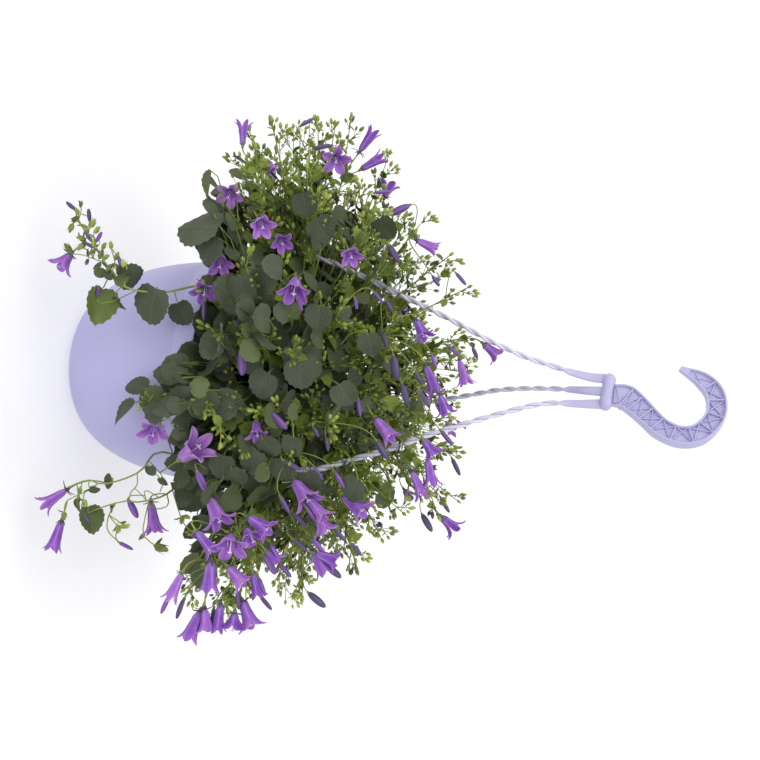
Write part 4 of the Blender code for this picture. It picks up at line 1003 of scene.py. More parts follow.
buds = {
    # pixel, distance from the crown, the tip's angle, length in millimetres
    "dome": (
        (242, 362, 0.200, 90, 24), (322, 147, 0.275, 170, 18), (399, 210, 0.275, 155, 22),
        (394, 254, 0.255, 60, 19), (395, 368, 0.245, 82, 23), (385, 341, 0.240, 70, 16),
        (204, 311, 0.172, 90, 18), (359, 407, 0.235, 80, 18), (447, 438, 0.285, 50, 18),
        (456, 467, 0.290, 65, 18), (427, 523, 0.290, 60, 19), (333, 571, 0.285, 40, 19),
        (317, 600, 0.295, 40, 20), (356, 549, 0.280, 50, 15), (180, 609, 0.290, 110, 18),
        (266, 603, 0.290, 50, 16), (279, 421, 0.215, 45, 20), (292, 465, 0.225, 30, 18),
        (202, 482, 0.215, 65, 20), (461, 279, 0.285, 50, 16), (454, 351, 0.280, 40, 15),
        (383, 192, 0.270, -5, 16), (307, 122, 0.285, -30, 15), (378, 297, 0.245, 50, 14),
        (425, 400, 0.275, 60, 17), (405, 395, 0.260, 75, 19), (440, 410, 0.280, 60, 16),
        (382, 450, 0.255, 60, 19), (445, 505, 0.292, 60, 17), (165, 605, 0.285, 115, 17),
        (213, 618, 0.295, 95, 18), (262, 587, 0.285, 70, 17), (238, 600, 0.288, 85, 17),
        (270, 565, 0.275, 60, 19), (285, 570, 0.278, 50, 17), (275, 552, 0.268, 60, 16),
        (247, 610, 0.292, 85, 17), (300, 520, 0.245, 45, 17), (318, 545, 0.270, 50, 17),
        (340, 535, 0.272, 45, 16), (312, 515, 0.250, 55, 16), (300, 545, 0.265, 40, 17),
        (340, 480, 0.250, 60, 17), (285, 505, 0.238, 60, 18), (197, 537, 0.245, 20, 12),
        (327, 444, 0.230, 80, 14), (316, 432, 0.225, 60, 10), (318, 473, 0.235, 55, 15),
        (389, 306, 0.250, 60, 12), (356, 304, 0.240, 80, 10), (475, 353, 0.288, 65, 12),
        (434, 361, 0.275, 70, 14), (419, 378, 0.265, 60, 13), (436, 281, 0.280, 55, 12),
        (300, 305, 0.225, 75, 11),
    ),
    "trailing": (
        (133, 509, 0.150, 63, 19), (126, 546, 0.152, 27, 15), (86, 518, 0.160, 62, 14),
        (71, 206, 0.157, -140, 12), (89, 215, 0.160, -95, 12), (88, 236, 0.164, -120, 11),
        (99, 237, 0.165, -60, 11), (89, 245, 0.164, -150, 10), (120, 262, 0.167, -105, 11),
        (98, 291, 0.168, -80, 11),
    ),
    "slimFrom": 0.0125,  # small ones are round, and the longest are about to open
    "fatFrom": 0.0185,
    "behind": 8,
    "behindRise": (5.0, 75.0),
    "behindReach": (0.24, 0.28),
    "behindLength": (0.014, 0.020),
}
sprays = {
    "seen": (  # pixel of the tip and its distance from the crown
        (250, 158, 0.255), (272, 122, 0.285), (318, 122, 0.285), (351, 118, 0.295),
        (389, 155, 0.285), (427, 216, 0.285), (449, 256, 0.290), (467, 288, 0.290),
        (472, 336, 0.285), (447, 422, 0.285), (455, 456, 0.290), (438, 515, 0.297),
        (420, 498, 0.288), (402, 512, 0.285), (250, 132, 0.275), (256, 150, 0.275),
        (335, 128, 0.288), (322, 150, 0.272), (352, 180, 0.262), (375, 205, 0.262),
        (300, 140, 0.272), (381, 538, 0.285), (357, 570, 0.290), (302, 597, 0.290),
        (236, 603, 0.290), (186, 588, 0.275), (226, 205, 0.215), (205, 285, 0.170),
        (240, 335, 0.200), (290, 350, 0.225), (262, 408, 0.210), (290, 462, 0.225),
        (340, 310, 0.235), (395, 330, 0.250), (330, 430, 0.230),
    ),
    "behind": 11,
    "behindRise": (4.0, 82.0),
    "behindReach": (0.262, 0.292),
    "filling": 130,
    "fillingTries": 780,
    "fillingRise": (-4.0, 87.0),
    "fillingReach": (0.205, 0.278),
    "apart": 0.024,
    "facing": 0.72,  # a spray faces the viewer if its share that way is above this
    "facingReach": (0.185, 0.222),
    "facingLeftOut": 0.35,
    "sideApart": 0.013,
    "sideLength": 0.030,
    "seenSides": 0.72,  # share of the side stems' length on the sprays placed by pixel
    "budsOnSide": 3,
    "budSize": 0.0066,
    "stemLeaves": 4,
    "points": 9,
    "from": 0.45,  # side stems and leaves start here along a spray
    "rootRadius": 0.0014,
    "tipRadius": 0.0005,
    "sideRadii": [0.00058, 0.0005, 0.00044, 0.00036],
    "budRadii": [0.00038, 0.0003],
    "twigRadius": 0.0006,
    "twigBudRadii": [0.0005, 0.0005, 0.00045, 0.0004],
    "twigBudGrowth": 1.2,
    "bloomRadii": [0.0006] * 5 + [0.0007, 0.0009],
    "violetBudRadii": [0.0005] * 6,
    "broadFrom": 0.0085,  # a stem leaf longer than this is broad
}
trailers = (
    ((196, 300, 0.090), (165, 292, 0.142), (133, 290, 0.163), (121, 283, 0.166), (114, 273, 0.166),
     (104, 261, 0.166), (97, 249, 0.165), (89, 235, 0.163), (83, 228, 0.161), (76, 214, 0.157)),
    ((182, 440, 0.085), (160, 452, 0.130), (143, 469, 0.155), (129, 477, 0.163), (114, 482, 0.166),
     (101, 484, 0.165), (90, 480, 0.163), (80, 482, 0.160), (69, 487, 0.154)),
    ((190, 478, 0.070), (181, 484, 0.110), (171, 491, 0.125), (161, 497, 0.140), (140, 502, 0.152),
     (127, 501, 0.156), (116, 503, 0.158), (97, 509, 0.158), (88, 513, 0.158)),
)
# thin side stems of the trailing shoots: how far towards the viewer, then pixels
twigs = (
    (0.166, (114, 273), (115, 263), (111, 248)), (0.160, (105, 262), (94, 259), (83, 255), (73, 254)),
    (0.158, (83, 228), (77, 221), (72, 225)), (0.161, (89, 235), (84, 239), (81, 246)),
    (0.164, (97, 249), (100, 244), (99, 239)), (0.160, (84, 229), (89, 225), (89, 219)),
    (0.165, (121, 283), (124, 273), (123, 267)), (0.164, (104, 261), (100, 263), (98, 266)),
    (0.158, (79, 219), (81, 212), (81, 206)), (0.164, (92, 240), (95, 238), (96, 242)),
    (0.160, (101, 485), (87, 491), (74, 497), (66, 502), (64, 514), (63, 520)),
    (0.158, (82, 482), (81, 488), (78, 500)), (0.158, (86, 491), (83, 500), (84, 510)),
    (0.155, (139, 473), (137, 485), (131, 492), (129, 500)), (0.152, (137, 487), (140, 493), (146, 500)),
    (0.153, (114, 504), (109, 515), (107, 528), (112, 536), (118, 541)),
    (0.153, (110, 515), (114, 522), (118, 526)), (0.153, (110, 515), (118, 521), (123, 525)),
    (0.145, (146, 512), (143, 531), (149, 541), (155, 545)), (0.148, (157, 484), (145, 490), (146, 500)),
    (0.142, (171, 491), (168, 505), (157, 509), (150, 505)), (0.140, (163, 470), (163, 478), (160, 492)),
    (0.120, (178, 505), (182, 520), (190, 530), (196, 536)),
)
# green buds on them: pixel, how far towards the viewer, the tip's angle, millimetres, tone
twigBuds = (
    (77, 211, 0.157, -120, 8, 0.55), (81, 204, 0.158, -70, 6, 0.3), (93, 223, 0.161, -60, 9, 0.8),
    (71, 228, 0.158, 110, 9, 0.6), (86, 230, 0.161, -100, 8, 0.6), (81, 238, 0.162, 190, 8, 0.7),
    (80, 247, 0.162, 150, 9, 0.7), (94, 243, 0.164, -90, 8, 0.8), (111, 245, 0.166, -90, 7, 0.5),
    (101, 254, 0.165, -70, 9, 0.3), (98, 266, 0.164, 130, 8, 0.25), (87, 262, 0.160, 110, 6, 0.1),
    (68, 248, 0.152, -130, 11, 0.35), (124, 265, 0.166, -95, 11, 0.9), (92, 252, 0.164, 150, 7, 0.4),
    (106, 257, 0.165, -30, 7, 0.7), (118, 268, 0.166, -120, 9, 0.3), (64, 516, 0.159, 100, 9, 0.6),
    (80, 490, 0.158, -80, 7, 0.6), (161, 548, 0.144, 15, 14, 0.3), (118, 529, 0.153, 95, 9, 0.6),
    (125, 526, 0.153, -10, 9, 0.7), (143, 536, 0.144, 110, 6, 0.4), (94, 488, 0.160, 20, 7, 0.7),
    (182, 520, 0.120, 100, 8, 0.6), (187, 517, 0.120, 20, 7, 0.7), (85, 503, 0.159, 60, 8, 0.8),
    (97, 230, 0.162, -50, 8, 0.7), (84, 245, 0.162, 110, 7, 0.2), (104, 246, 0.165, -60, 7, 0.5),
    (75, 219, 0.158, 150, 8, 0.4), (109, 268, 0.166, 120, 8, 0.3), (117, 256, 0.166, -60, 8, 0.6),
)
heart = {"radius": 0.088, "halfHeight": 0.055, "root": 0.70}  # sprays start at this share of the heart
heartMiddle = Vector((0.0, 0.0, soil["top"] + 0.003 + heart["halfHeight"]))
turnStep = 2.0 * math.pi * 0.7548776662  # with riseStep, spreads the directions evenly
riseStep = 0.5698402910
behind = -0.15  # a direction is at the back if its share towards the viewer is below this


def domeDirection(index, lowest, highest, key):
    turn = index * turnStep
    share = (0.5 + index * riseStep) % 1.0
    low, high = math.sin(math.radians(lowest)), math.sin(math.radians(highest))
    rise = low + (high - low) * share
    level = math.sqrt(1.0 - rise * rise)
    shift = draw(key, index).uniform(-0.12, 0.12)
    return Vector((level * math.sin(turn + shift), -level * math.cos(turn + shift), rise))


def heartPoint(direction, share=1.0):
    x, y, z = direction
    scaled = Vector((x / heart["radius"], y / heart["radius"], z / heart["halfHeight"]))
    return heartMiddle + direction * (share / scaled.length)


def bloomPlaces():
    places = []
    for index, (px, py, reach, angle, turn, width, form) in enumerate(blooms["dome"]):
        places.append((pointOnDome(px, py, reach), aimed(angle, turn), width, form, index))
    for index, (px, py, towards, angle, turn, width, form) in enumerate(blooms["trailing"]):
        places.append((pointInFront(px, py, towards), aimed(angle, turn), width, form, 100 + index))
    found = index = 0
    while found < blooms["behind"]:
        way = domeDirection(index, *blooms["behindRise"], "back bloom")
        index += 1
        if way.dot(towardsEye) > behind:
            continue
        found += 1
        pick = draw("back bloom", index)
        reach = pick.uniform(*blooms["behindReach"])
        mouth = (way + Vector((0.0, 0.0, -0.35)) + eyeRight * pick.uniform(-0.4, 0.4)).normalized()
        form = "star" if pick.random() < 0.4 else "bell"
        middle = crown + way * reach
        places.append((middle, mouth, pick.uniform(26.0, 34.0), form, 200 + index))
        if found % 3 == 0:
            beside = middle + way.cross(up).normalized() * 0.011 + mouth * 0.004
            turned = (mouth + way.cross(up) * 0.5).normalized()
            places.append((beside, turned, pick.uniform(26.0, 32.0), "bell", 300 + index))
    bases = []
    for middle, mouth, width, form, key in places:
        size = width * blooms["shapeSize"][form]
        half = 0.54 if form == "long" else 0.45
        spin = draw("spin", key).uniform(0.0, 1.2)
        bases.append((middle - mouth * (size * half), mouth, size, form, spin))
    return bases


def budPlaces():
    places = []
    for px, py, reach, angle, length in buds["dome"]:
        places.append((pointOnDome(px, py, reach), aimed(angle, 0.0), length * 0.001))
    for px, py, towards, angle, length in buds["trailing"]:
        places.append((pointInFront(px, py, towards), aimed(angle, 0.0), length * 0.001))
    wanted = len(places) + buds["behind"]
    index = 0
    while len(places) < wanted:
        way = domeDirection(index, *buds["behindRise"], "back bud")
        index += 1
        if way.dot(towardsEye) < behind:
            pick = draw("back bud", index)
            tipWay = (way - up * 0.3 + eyeRight * pick.uniform(-0.5, 0.5)).normalized()
            middle = crown + way * pick.uniform(*buds["behindReach"])
            places.append((middle, tipWay, pick.uniform(*buds["behindLength"])))
    return [(middle - tipWay * (length * 0.5), tipWay, length) for middle, tipWay, length in places]


def sprayTips():
    tips = [pointOnDome(px, py, reach) for px, py, reach in sprays["seen"]]
    wanted = len(tips) + sprays["behind"]
    index = 0
    while len(tips) < wanted:
        way = domeDirection(index, *sprays["behindRise"], "back spray")
        index += 1
        if way.dot(towardsEye) < behind:
            tips.append(crown + way * draw("back spray", index).uniform(*sprays["behindReach"]))
    return tips


def sprayLine(tip, attempt, key):
    way = ((tip - crown).normalized() + up * 0.25).normalized()
    root = heartPoint(way, heart["root"])
    pick = draw("spray", key, attempt)
    bend = (root + tip) / 2.0 + up * (0.030 * (1.0 - way.z))
    bend += anyWay(pick) * (0.012 * attempt)
    return [root, bend, tip]


def trailingLine(pixels):
    points = [pointInFront(px, py, towards) for px, py, towards in pixels]
    way = Vector((points[0].x, points[0].y, 0.0)).normalized()
    root = heartPoint((way * 0.95 + up * -0.20).normalized(), heart["root"])
    return [root, way * 0.134 + up * 0.186] + points[1:]


# The CAD foliage tells which of several tries each stem and leaf was made from.
foliageTree = treeOf(cadNodes["foliage"])
bloomNodes = [name for name in cadNodes if name.startswith("bloom")]
plainNodes = ["pot", "soil", "strand_left", "strand_right", "strand_back"]
obstacles = treeOf(*[cadNodes[name] for name in bloomNodes + plainNodes])


def awayFromFoliage(*points):
    return sum(foliageTree.find_nearest(point + potFoot)[3] for point in points)


def crosses(thing):  # the model is in the pot's own place, the obstacles hang from the hook
    points = [vertex.co + potFoot for vertex in thing.data.vertices]
    tree = BVHTree.FromPolygons(points, [list(face.vertices) for face in thing.data.polygons])
    return bool(tree.overlap(obstacles))


bloomList = bloomPlaces()
budList = budPlaces()
sprayLines = []
for key, tip in enumerate(sprayTips()):
    tries = [sprayLine(tip, attempt, key) for attempt in range(attempts)]
    sprayLines.append(min(tries, key=lambda line: awayFromFoliage(curvePoint(*line, 0.52))))
trailingLines = [trailingLine(pixels) for pixels in trailers]
trailSamples = [spot for line in trailingLines for spot in smoothRoute(line, 0.006)[0][3:]]
print(f"{len(bloomList)} blooms, {len(budList)} violet buds and {len(sprayLines)} sprays placed")

# What the photograph shows in front stays in sight: blooms, violet buds and the strands.
sight = {
    "bloomShare": 0.42,
    "budShare": 0.40,
    "strandPixels": 6.5,
    "nearer": 0.004,
    "cell": 24,
    "strandsFrom": {"strand_left": 314, "strand_right": 306, "strand_back": 434},
    # the plant's outline in the picture, at its left and at its right: rows and columns of pixels
    "left": (
        (60, 300), (105, 262), (150, 236), (175, 203), (205, 198), (240, 196), (262, 204), (285, 201),
        (330, 192), (345, 184), (362, 158), (378, 132), (400, 119), (430, 117), (446, 126), (462, 152),
        (482, 172), (520, 182), (560, 168), (600, 170), (640, 186), (700, 240),
    ),
    "right": (
        (60, 330), (100, 345), (120, 354), (135, 384), (155, 394), (175, 385), (190, 381), (207, 392),
        (215, 412), (236, 421), (250, 437), (262, 450), (280, 467), (295, 468), (310, 453), (327, 470),
        (345, 482), (360, 480), (380, 472), (400, 462), (430, 456), (450, 456), (470, 459), (480, 446),
        (500, 443), (512, 408), (520, 388), (535, 381), (550, 363), (570, 356), (580, 336), (590, 320),
        (603, 311), (615, 272), (630, 262), (645, 250), (700, 240),
    ),
}


def pixelOf(spot):  # where a point is in the picture, and how far from the eye
    right, down, back = pictureDirections()
    away = spot - eye
    depth = -away.dot(back)
    scale = view["focal"] / depth
    return view["middle"] + scale * away.dot(right), view["middle"] + scale * away.dot(down), depth


def sightMarks():
    marks = []
    seen = len(blooms["dome"]) + len(blooms["trailing"])
    for base, mouth, size, *_ in bloomList[:seen]:
        px, py, depth = pixelOf(base + mouth * (0.55 * size))
        marks.append((px, py, sight["bloomShare"] * size * view["focal"] / depth, depth))
    for base, tipWay, length in budList[:len(buds["dome"]) + len(buds["trailing"])]:
        px, py, depth = pixelOf(base + tipWay * (0.6 * length))
        marks.append((px, py, sight["budShare"] * length * view["focal"] / depth, depth))
    for name, firstColumn in sight["strandsFrom"].items():
        points = [Vector(point) * 0.001 for point in strands["routes"][name]]
        for spot in smoothRoute(points, 0.005)[0]:
            px, py, depth = pixelOf(spot)
            if px > firstColumn:
                marks.append((px, py, sight["strandPixels"], depth))
    cells = {}
    for mark in marks:
        cell = (int(mark[0]) // sight["cell"], int(mark[1]) // sight["cell"])
        for across in (-1, 0, 1):
            for along in (-1, 0, 1):
                cells.setdefault((cell[0] + across, cell[1] + along), []).append(mark)
    return cells


sightCells = sightMarks()


def outlineColumn(line, row):
    for (rowA, columnA), (rowB, columnB) in zip(line, line[1:]):
        if rowA <= row <= rowB:
            return mix(columnA, columnB, (row - rowA) / (rowB - rowA))
    return view["middle"]


def inTheWay(*points, anywhere=False):  # hides something that is seen, or stands out from the plant
    for point in points:
        px, py, depth = pixelOf(point)
        if not (anywhere or outlineColumn(sight["left"], py) < px < outlineColumn(sight["right"], py)):
            return True
        for x, y, radius, far in sightCells.get((int(px) // sight["cell"], int(py) // sight["cell"]), ()):
            if depth < far - sight["nearer"] and (px - x) ** 2 + (py - y) ** 2 < radius * radius:
                return True
    return False


def formsOf(parts, *rows):  # a dictionary for each row
    return [dict(zip(parts, row)) for row in rows]


# sizes are shares of the bloom's width; the lobes bend from one angle off the axis to the other
bloomParts = ("tube", "neck", "notch", "lobe", "half", "bend", "cup")
bloomForms = {
    "star": formsOf(
        bloomParts,
        (0.33, 0.130, 0.205, 0.370, 0.155, (36, 84), 0.24),
        (0.36, 0.135, 0.200, 0.360, 0.146, (28, 74), 0.32),
        (0.32, 0.125, 0.210, 0.365, 0.162, (42, 98), 0.16),
    ),
    "bell": formsOf(
        bloomParts,
        (0.45, 0.135, 0.172, 0.460, 0.122, (9, 72), 0.30),
        (0.51, 0.135, 0.166, 0.410, 0.114, (4, 44), 0.40),
        (0.43, 0.140, 0.176, 0.480, 0.120, (14, 92), 0.24),
        (0.47, 0.130, 0.170, 0.460, 0.122, (7, 104), 0.22),
    ),
    "long": formsOf(
        bloomParts,
        (0.60, 0.130, 0.165, 0.540, 0.112, (2, 40), 0.34),
        (0.57, 0.125, 0.160, 0.560, 0.108, (5, 64), 0.26),
    ),
}


def petalSpot(u, v, form):  # one petal of a bloom one unit wide, whose axis is z
    notch, neck = form["notch"], form["neck"]
    fifth = math.pi / 5.0
    tubeRows = blooms["tubeRows"] / (blooms["tubeRows"] + blooms["lobeRows"])
    if v <= tubeRows:
        t = v / tubeRows
        radius = mix(0.035, neck, math.sin(0.5 * math.pi * min(1.0, t / 0.45)))
        radius += (notch - neck) * max(0.0, (t - 0.35) / 0.65) ** 1.7
        ridge = 1.0 + 0.05 * (1.0 - abs(u)) * t  # each petal's middle stands out a little
        return Vector((
            radius * ridge * math.cos(fifth * u), radius * math.sin(fifth * u), mix(0.015, form["tube"], t)
        ))
    t = (v - tubeRows) / (1.0 - tubeRows)
    spot = Vector((notch, 0.0, form["tube"]))
    first, last = (math.radians(angle) for angle in form["bend"])
    steps = blooms["bendSteps"]
    for step in range(steps):
        angle = mix(first, last, (t * (step + 0.5) / steps) ** 1.3)
        spot += Vector((math.sin(angle), 0.0, math.cos(angle))) * (form["lobe"] * t / steps)
    angle = mix(first, last, t ** 1.3)
    inward = Vector((-math.cos(angle), 0.0, math.sin(angle)))
    rootHalf = notch * math.sin(fifth)
    if t < 0.35:
        ease = t / 0.35
        half = mix(rootHalf, form["half"], ease * ease * (3.0 - 2.0 * ease))
    else:
        half = form["half"] * (1.0 - ((t - 0.35) / 0.65) ** 2.1) ** 0.85 + 0.004
    root = max(0.0, 1.0 - 2.5 * t)
    arc = notch * (1.0 - math.cos(fifth * u))
    spot += Vector((-1.0, 0.0, 0.0)) * (arc * root) + inward * (form["cup"] * u * u * half * (1.0 - root))
    spot -= inward * (0.012 * (1.0 - abs(u)) ** 2)
    spot.y += u * half + form["cup"] * 0.03 * t * t
    return spot


def bloomModel(name, form):  # one petal from a grid, five of them merged into a bell
    petal = addedGrid(blooms["petalSteps"], blooms["tubeRows"] + blooms["lobeRows"])
    petal.data.uv_layers[0].name = "petalMap"
    for vertex in petal.data.vertices:
        vertex.co = petalSpot(vertex.co.x, (vertex.co.y + 1.0) / 2.0, form)
    bell = joined(turnedCopies(petal, 5), name)
    edit(bell, merged(blooms["mergeGap"]), turnOut)
    thicken(bell, blooms["wall"])
    smooth(bell)
    return bell


def turnedCopies(part, count, start=0.0):  # the part itself and its copies round the z axis
    turns = [Matrix.Rotation(2.0 * math.pi * (turn + start) / count, 4, "Z") for turn in range(count)]
    copies = [copyOf(part, turn) for turn in turns[1:]]
    part.data.transform(turns[0])
    return [part] + copies


def modelTube(points, radii, sides=0):
    return tubes([([Vector(point) for point in points], radii, 0.0)], "tube", sides)


def styleModel(length):  # the pale style with its three-lobed stigma, and short stamens
    stalk = modelTube(((0.0, 0.0, 0.08), (0.006, 0.0, 0.3), (0.0, 0.0, length)), (0.020, 0.015, 0.018), 1)
    parts = [stalk]
    path = ((0.0, 0.0, length - 0.02), (0.030, 0.0, length + 0.03), (0.075, 0.0, length + 0.02))
    parts += turnedCopies(modelTube(path, (0.016, 0.016, 0.007)), 3)
    stamen = modelTube(((0.03, 0.0, 0.10), (0.085, 0.0, 0.22), (0.075, 0.0, 0.36)), (0.007, 0.012, 0.007))
    parts += turnedCopies(stamen, 5, 0.5)
    return joined(parts, "styleModel")


def calyxModel(spread):  # the green knob under a bloom and its five narrow sepals
    knob = addedSphere(10, 6, 1.0)
    shape = Matrix.Diagonal((0.064, 0.064, 0.080, 1.0))
    knob.data.transform(Matrix.Translation((0.0, 0.0, -0.015)) @ shape)
    sepal = addedGrid(2, 5)
    for vertex in sepal.data.vertices:
        u, v = vertex.co.x, (vertex.co.y + 1.0) / 2.0
        half = 0.034 * (1.0 - v) ** 0.8 + 0.003
        rise = 0.02 + 0.24 * v * (1.0 - spread) + 0.02 * (1.0 - abs(u))
        reach = 0.045 + 0.24 * v * (0.45 + spread) - 0.05 * v * v
        vertex.co = Vector((reach, u * half, rise - 0.10 * spread * v * v))
    thicken(sepal, 0.010)
    whole = joined([knob] + turnedCopies(sepal, 5, 0.5), "calyxModel")
    smooth(whole, 60)
    return whole


def makeBlooms():
    models = {
        kind: [bloomModel(f"{kind}{number}", form) for number, form in enumerate(forms)]
        for kind, forms in bloomForms.items()
    }
    nodeSpots = {name: treeOf(cadNodes[name]) for name in bloomNodes}
    members = {name: [] for name in bloomNodes}
    styles, calyces = {kind: [] for kind in bloomForms}, [[], [], []]
    for index, (base, mouth, size, form, spin) in enumerate(bloomList):
        pick = draw("bloom look", index)
        place = pointed(base, mouth, size, spin)
        node = min(bloomNodes, key=lambda name: nodeSpots[name].find_nearest(base + potFoot)[3])
        tone = pick.uniform(0.10, 0.85) + (0.15 if form == "star" else 0.0)
        if size > blooms["palest"]:
            tone = 1.0
        members[node].append((pick.choice(models[form]), place, tone))
        styles[form].append((place, pick.uniform(0.3, 1.0)))
        calyces[index % 3].append((place, pick.uniform(0.0, 1.0)))
    for node, parts in members.items():
        copies = [copiesOf(model, [(place, tone)], "bloom") for model, place, tone in parts]
        bells = joined(copies, node.replace("bloom", "bellflower"))
        finishPiece(bells, petalViolet, (node,))
    pale = []
    for form, length in (("star", 0.54), ("bell", 0.68), ("long", 0.78)):
        model = styleModel(length)
        pale.append(copiesOf(model, styles[form], "styles"))
        discard(model)
    finishPiece(joined(pale, "bloom_styles"), stylePale)
    green = []
    for spread, places in zip((0.25, 0.6, 0.95), calyces):
        model = calyxModel(spread)
        green.append(copiesOf(model, places, "calyces"))
        discard(model)
    finishPiece(joined(green, "bloom_calyces"), calyxGreen)
    for model in sum(models.values(), []):
        discard(model)


makeBlooms()
print("blooms made")

leaves = {
    "rim": 18,
    "rimReach": (0.094, 0.110),
    "rimHeight": (0.179, 0.196),
    "rimLength": (0.036, 0.044),
    "dome": 34,
    "domeRise": (0.0, 86.0),
    "domeReach": (0.010, 0.088),  # from the plant's heart
    "domeLength": (0.034, 0.044),
    "lowestBase": 0.178,
    "fillingBase": (0.172, 0.02),  # the lowest, and how much higher it can be drawn
    "thickness": 0.014,  # of the leaf's length
    "stalkRadius": 0.00065,
    "nearShoot": 0.030,  # a leaf nearer than this to a trailing shoot grows from it
    "match": 0.0015,  # a leaf has to be this near the CAD foliage to follow it
    "largeLeaf": (34, 2),  # points round the edge, and rings inside it
    "smallLeaf": (20, 0),
    "trims": (1.0, 0.85, 0.7),  # shares of its length that a leaf in the way is cut to
    "shootStalk": [0.0006] * 5,
    "domeTries": 80,
    "layerTries": 4,
    "layers": (  # how many, nearest and farthest from the crown, shortest and longest, middle tone
        (300, 0.045, 0.125, 0.028, 0.040, 0.08),
        (420, 0.115, 0.180, 0.022, 0.036, 0.28),
        (520, 0.165, 0.222, 0.013, 0.028, 0.45),
    ),
    "seen": (
        # pixel of the middle, reach, kind of reach, the tip's angle in the picture, how far the
        # blade turns away from the viewer, length in millimetres, form, tone
        (151, 306, 0.155, "front", 110, 25, 41, 0, 0.36), (100, 305, 0.163, "front", 97, -30, 37, 4, 0.90),
        (132, 278, 0.158, "front", -25, 50, 28, 1, 0.40), (119, 303, 0.160, "front", 60, 55, 17, 2, 0.20),
        (182, 314, 0.128, "front", 70, 20, 27, 0, 0.12), (100, 273, 0.166, "front", 215, 20, 13, 2, 0.60),
        (198, 224, 0.215, "dome", 188, 36, 47, 1, 0.34), (208, 184, 0.240, "dome", 110, 55, 28, 2, 0.80),
        (209, 250, 0.200, "dome", 130, 30, 32, 0, 0.20), (123, 410, 0.138, "front", 150, 45, 34, 3, 0.34),
        (136, 385, 0.140, "front", 200, 40, 24, 0, 0.22), (150, 403, 0.136, "front", 120, 30, 32, 0, 0.34),
        (170, 398, 0.145, "dome", 140, 30, 30, 0, 0.30), (188, 499, 0.165, "dome", 110, 15, 31, 0, 0.16),
        (203, 525, 0.185, "dome", 60, 35, 26, 1, 0.24), (108, 482, 0.158, "front", 130, 35, 15, 0, 0.30),
        (385, 229, 0.262, "dome", 60, 40, 27, 0, 0.42), (305, 205, 0.235, "dome", 80, 20, 26, 0, 0.20),
        (322, 230, 0.225, "dome", 60, 15, 28, 0, 0.32), (178, 372, 0.165, "dome", 150, 25, 33, 0, 0.30),
        (210, 345, 0.180, "dome", 160, 25, 30, 0, 0.26), (262, 385, 0.195, "dome", 120, 15, 28, 0, 0.16),
        (222, 405, 0.185, "dome", 170, 15, 30, 0, 0.14), (318, 318, 0.220, "dome", 100, 15, 26, 0, 0.22),
        (300, 375, 0.215, "dome", 90, 15, 30, 0, 0.16), (262, 283, 0.205, "dome", 120, 15, 28, 0, 0.24),
        (243, 290, 0.200, "dome", 80, 25, 30, 0, 0.18), (352, 490, 0.262, "dome", 120, 30, 26, 0, 0.28),
        (370, 345, 0.245, "dome", 80, 25, 24, 0, 0.24), (345, 395, 0.235, "dome", 60, 20, 26, 0, 0.20),
        (252, 462, 0.208, "dome", 120, 20, 28, 0, 0.20), (222, 468, 0.195, "dome", 100, 20, 28, 0, 0.22),
        (283, 470, 0.218, "dome", 80, 20, 26, 0, 0.22), (200, 462, 0.178, "dome", 150, 30, 26, 1, 0.25),
        (310, 482, 0.232, "dome", 70, 25, 24, 0, 0.24), (236, 478, 0.206, "dome", 60, 30, 22, 1, 0.30),
        (268, 448, 0.214, "dome", 60, 30, 24, 1, 0.26), (292, 447, 0.226, "dome", 100, 25, 22, 0, 0.22),
        (109, 275, 0.167, "front", 230, 25, 13, 2, 0.30), (121, 271, 0.168, "front", -70, 35, 12, 2, 0.20),
        (121, 280, 0.169, "front", -20, 35, 14, 2, 0.75), (91, 519, 0.156, "front", 74, -28, 28, 4, 0.70),
        (78, 505, 0.159, "front", 100, 40, 14, 2, 0.50), (95, 490, 0.162, "front", 12, 45, 11, 0, 0.50),
        (112, 509, 0.156, "front", 115, 50, 10, 2, 0.60), (163, 482, 0.142, "front", 60, 40, 12, 0, 0.45),
        (151, 471, 0.152, "front", 80, 20, 12, 0, 0.15),
    ),
}
leafForms = formsOf(
    ("width", "teeth", "tip", "notch", "cup", "droop", "wave"),
    (1.06, 0.065, 0.03, 0.16, 0.08, 0.14, 0.020),
    (1.00, 0.065, 0.05, 0.13, -0.12, 0.20, 0.035),
    (0.86, 0.080, 0.11, 0.07, 0.22, 0.12, 0.025),
    (0.66, 0.110, 0.15, 0.03, 0.24, 0.22, 0.015),
    (0.84, 0.080, 0.08, 0.10, 0.60, 0.10, 0.015),
)


def closeBelow(sheet, thickness):  # the sheet gets a back of its own, with the same edge
    only(sheet)
    bpy.ops.object.mode_set(mode="EDIT")
    bpy.ops.mesh.select_all(action="DESELECT")
    bpy.ops.mesh.select_non_manifold()
    bpy.ops.object.mode_set(mode="OBJECT")
    edge = {vertex.index for vertex in sheet.data.vertices if vertex.select}
    back = copyOf(sheet)
    back.data.flip_normals()
    for vertex, front in zip(back.data.vertices, sheet.data.vertices):
        if vertex.index not in edge:
            vertex.co = front.co - front.normal * thickness
    body = joined([sheet, back], sheet.name)
    edit(body, merged(doubles))
    smooth(body, 75)
    return body


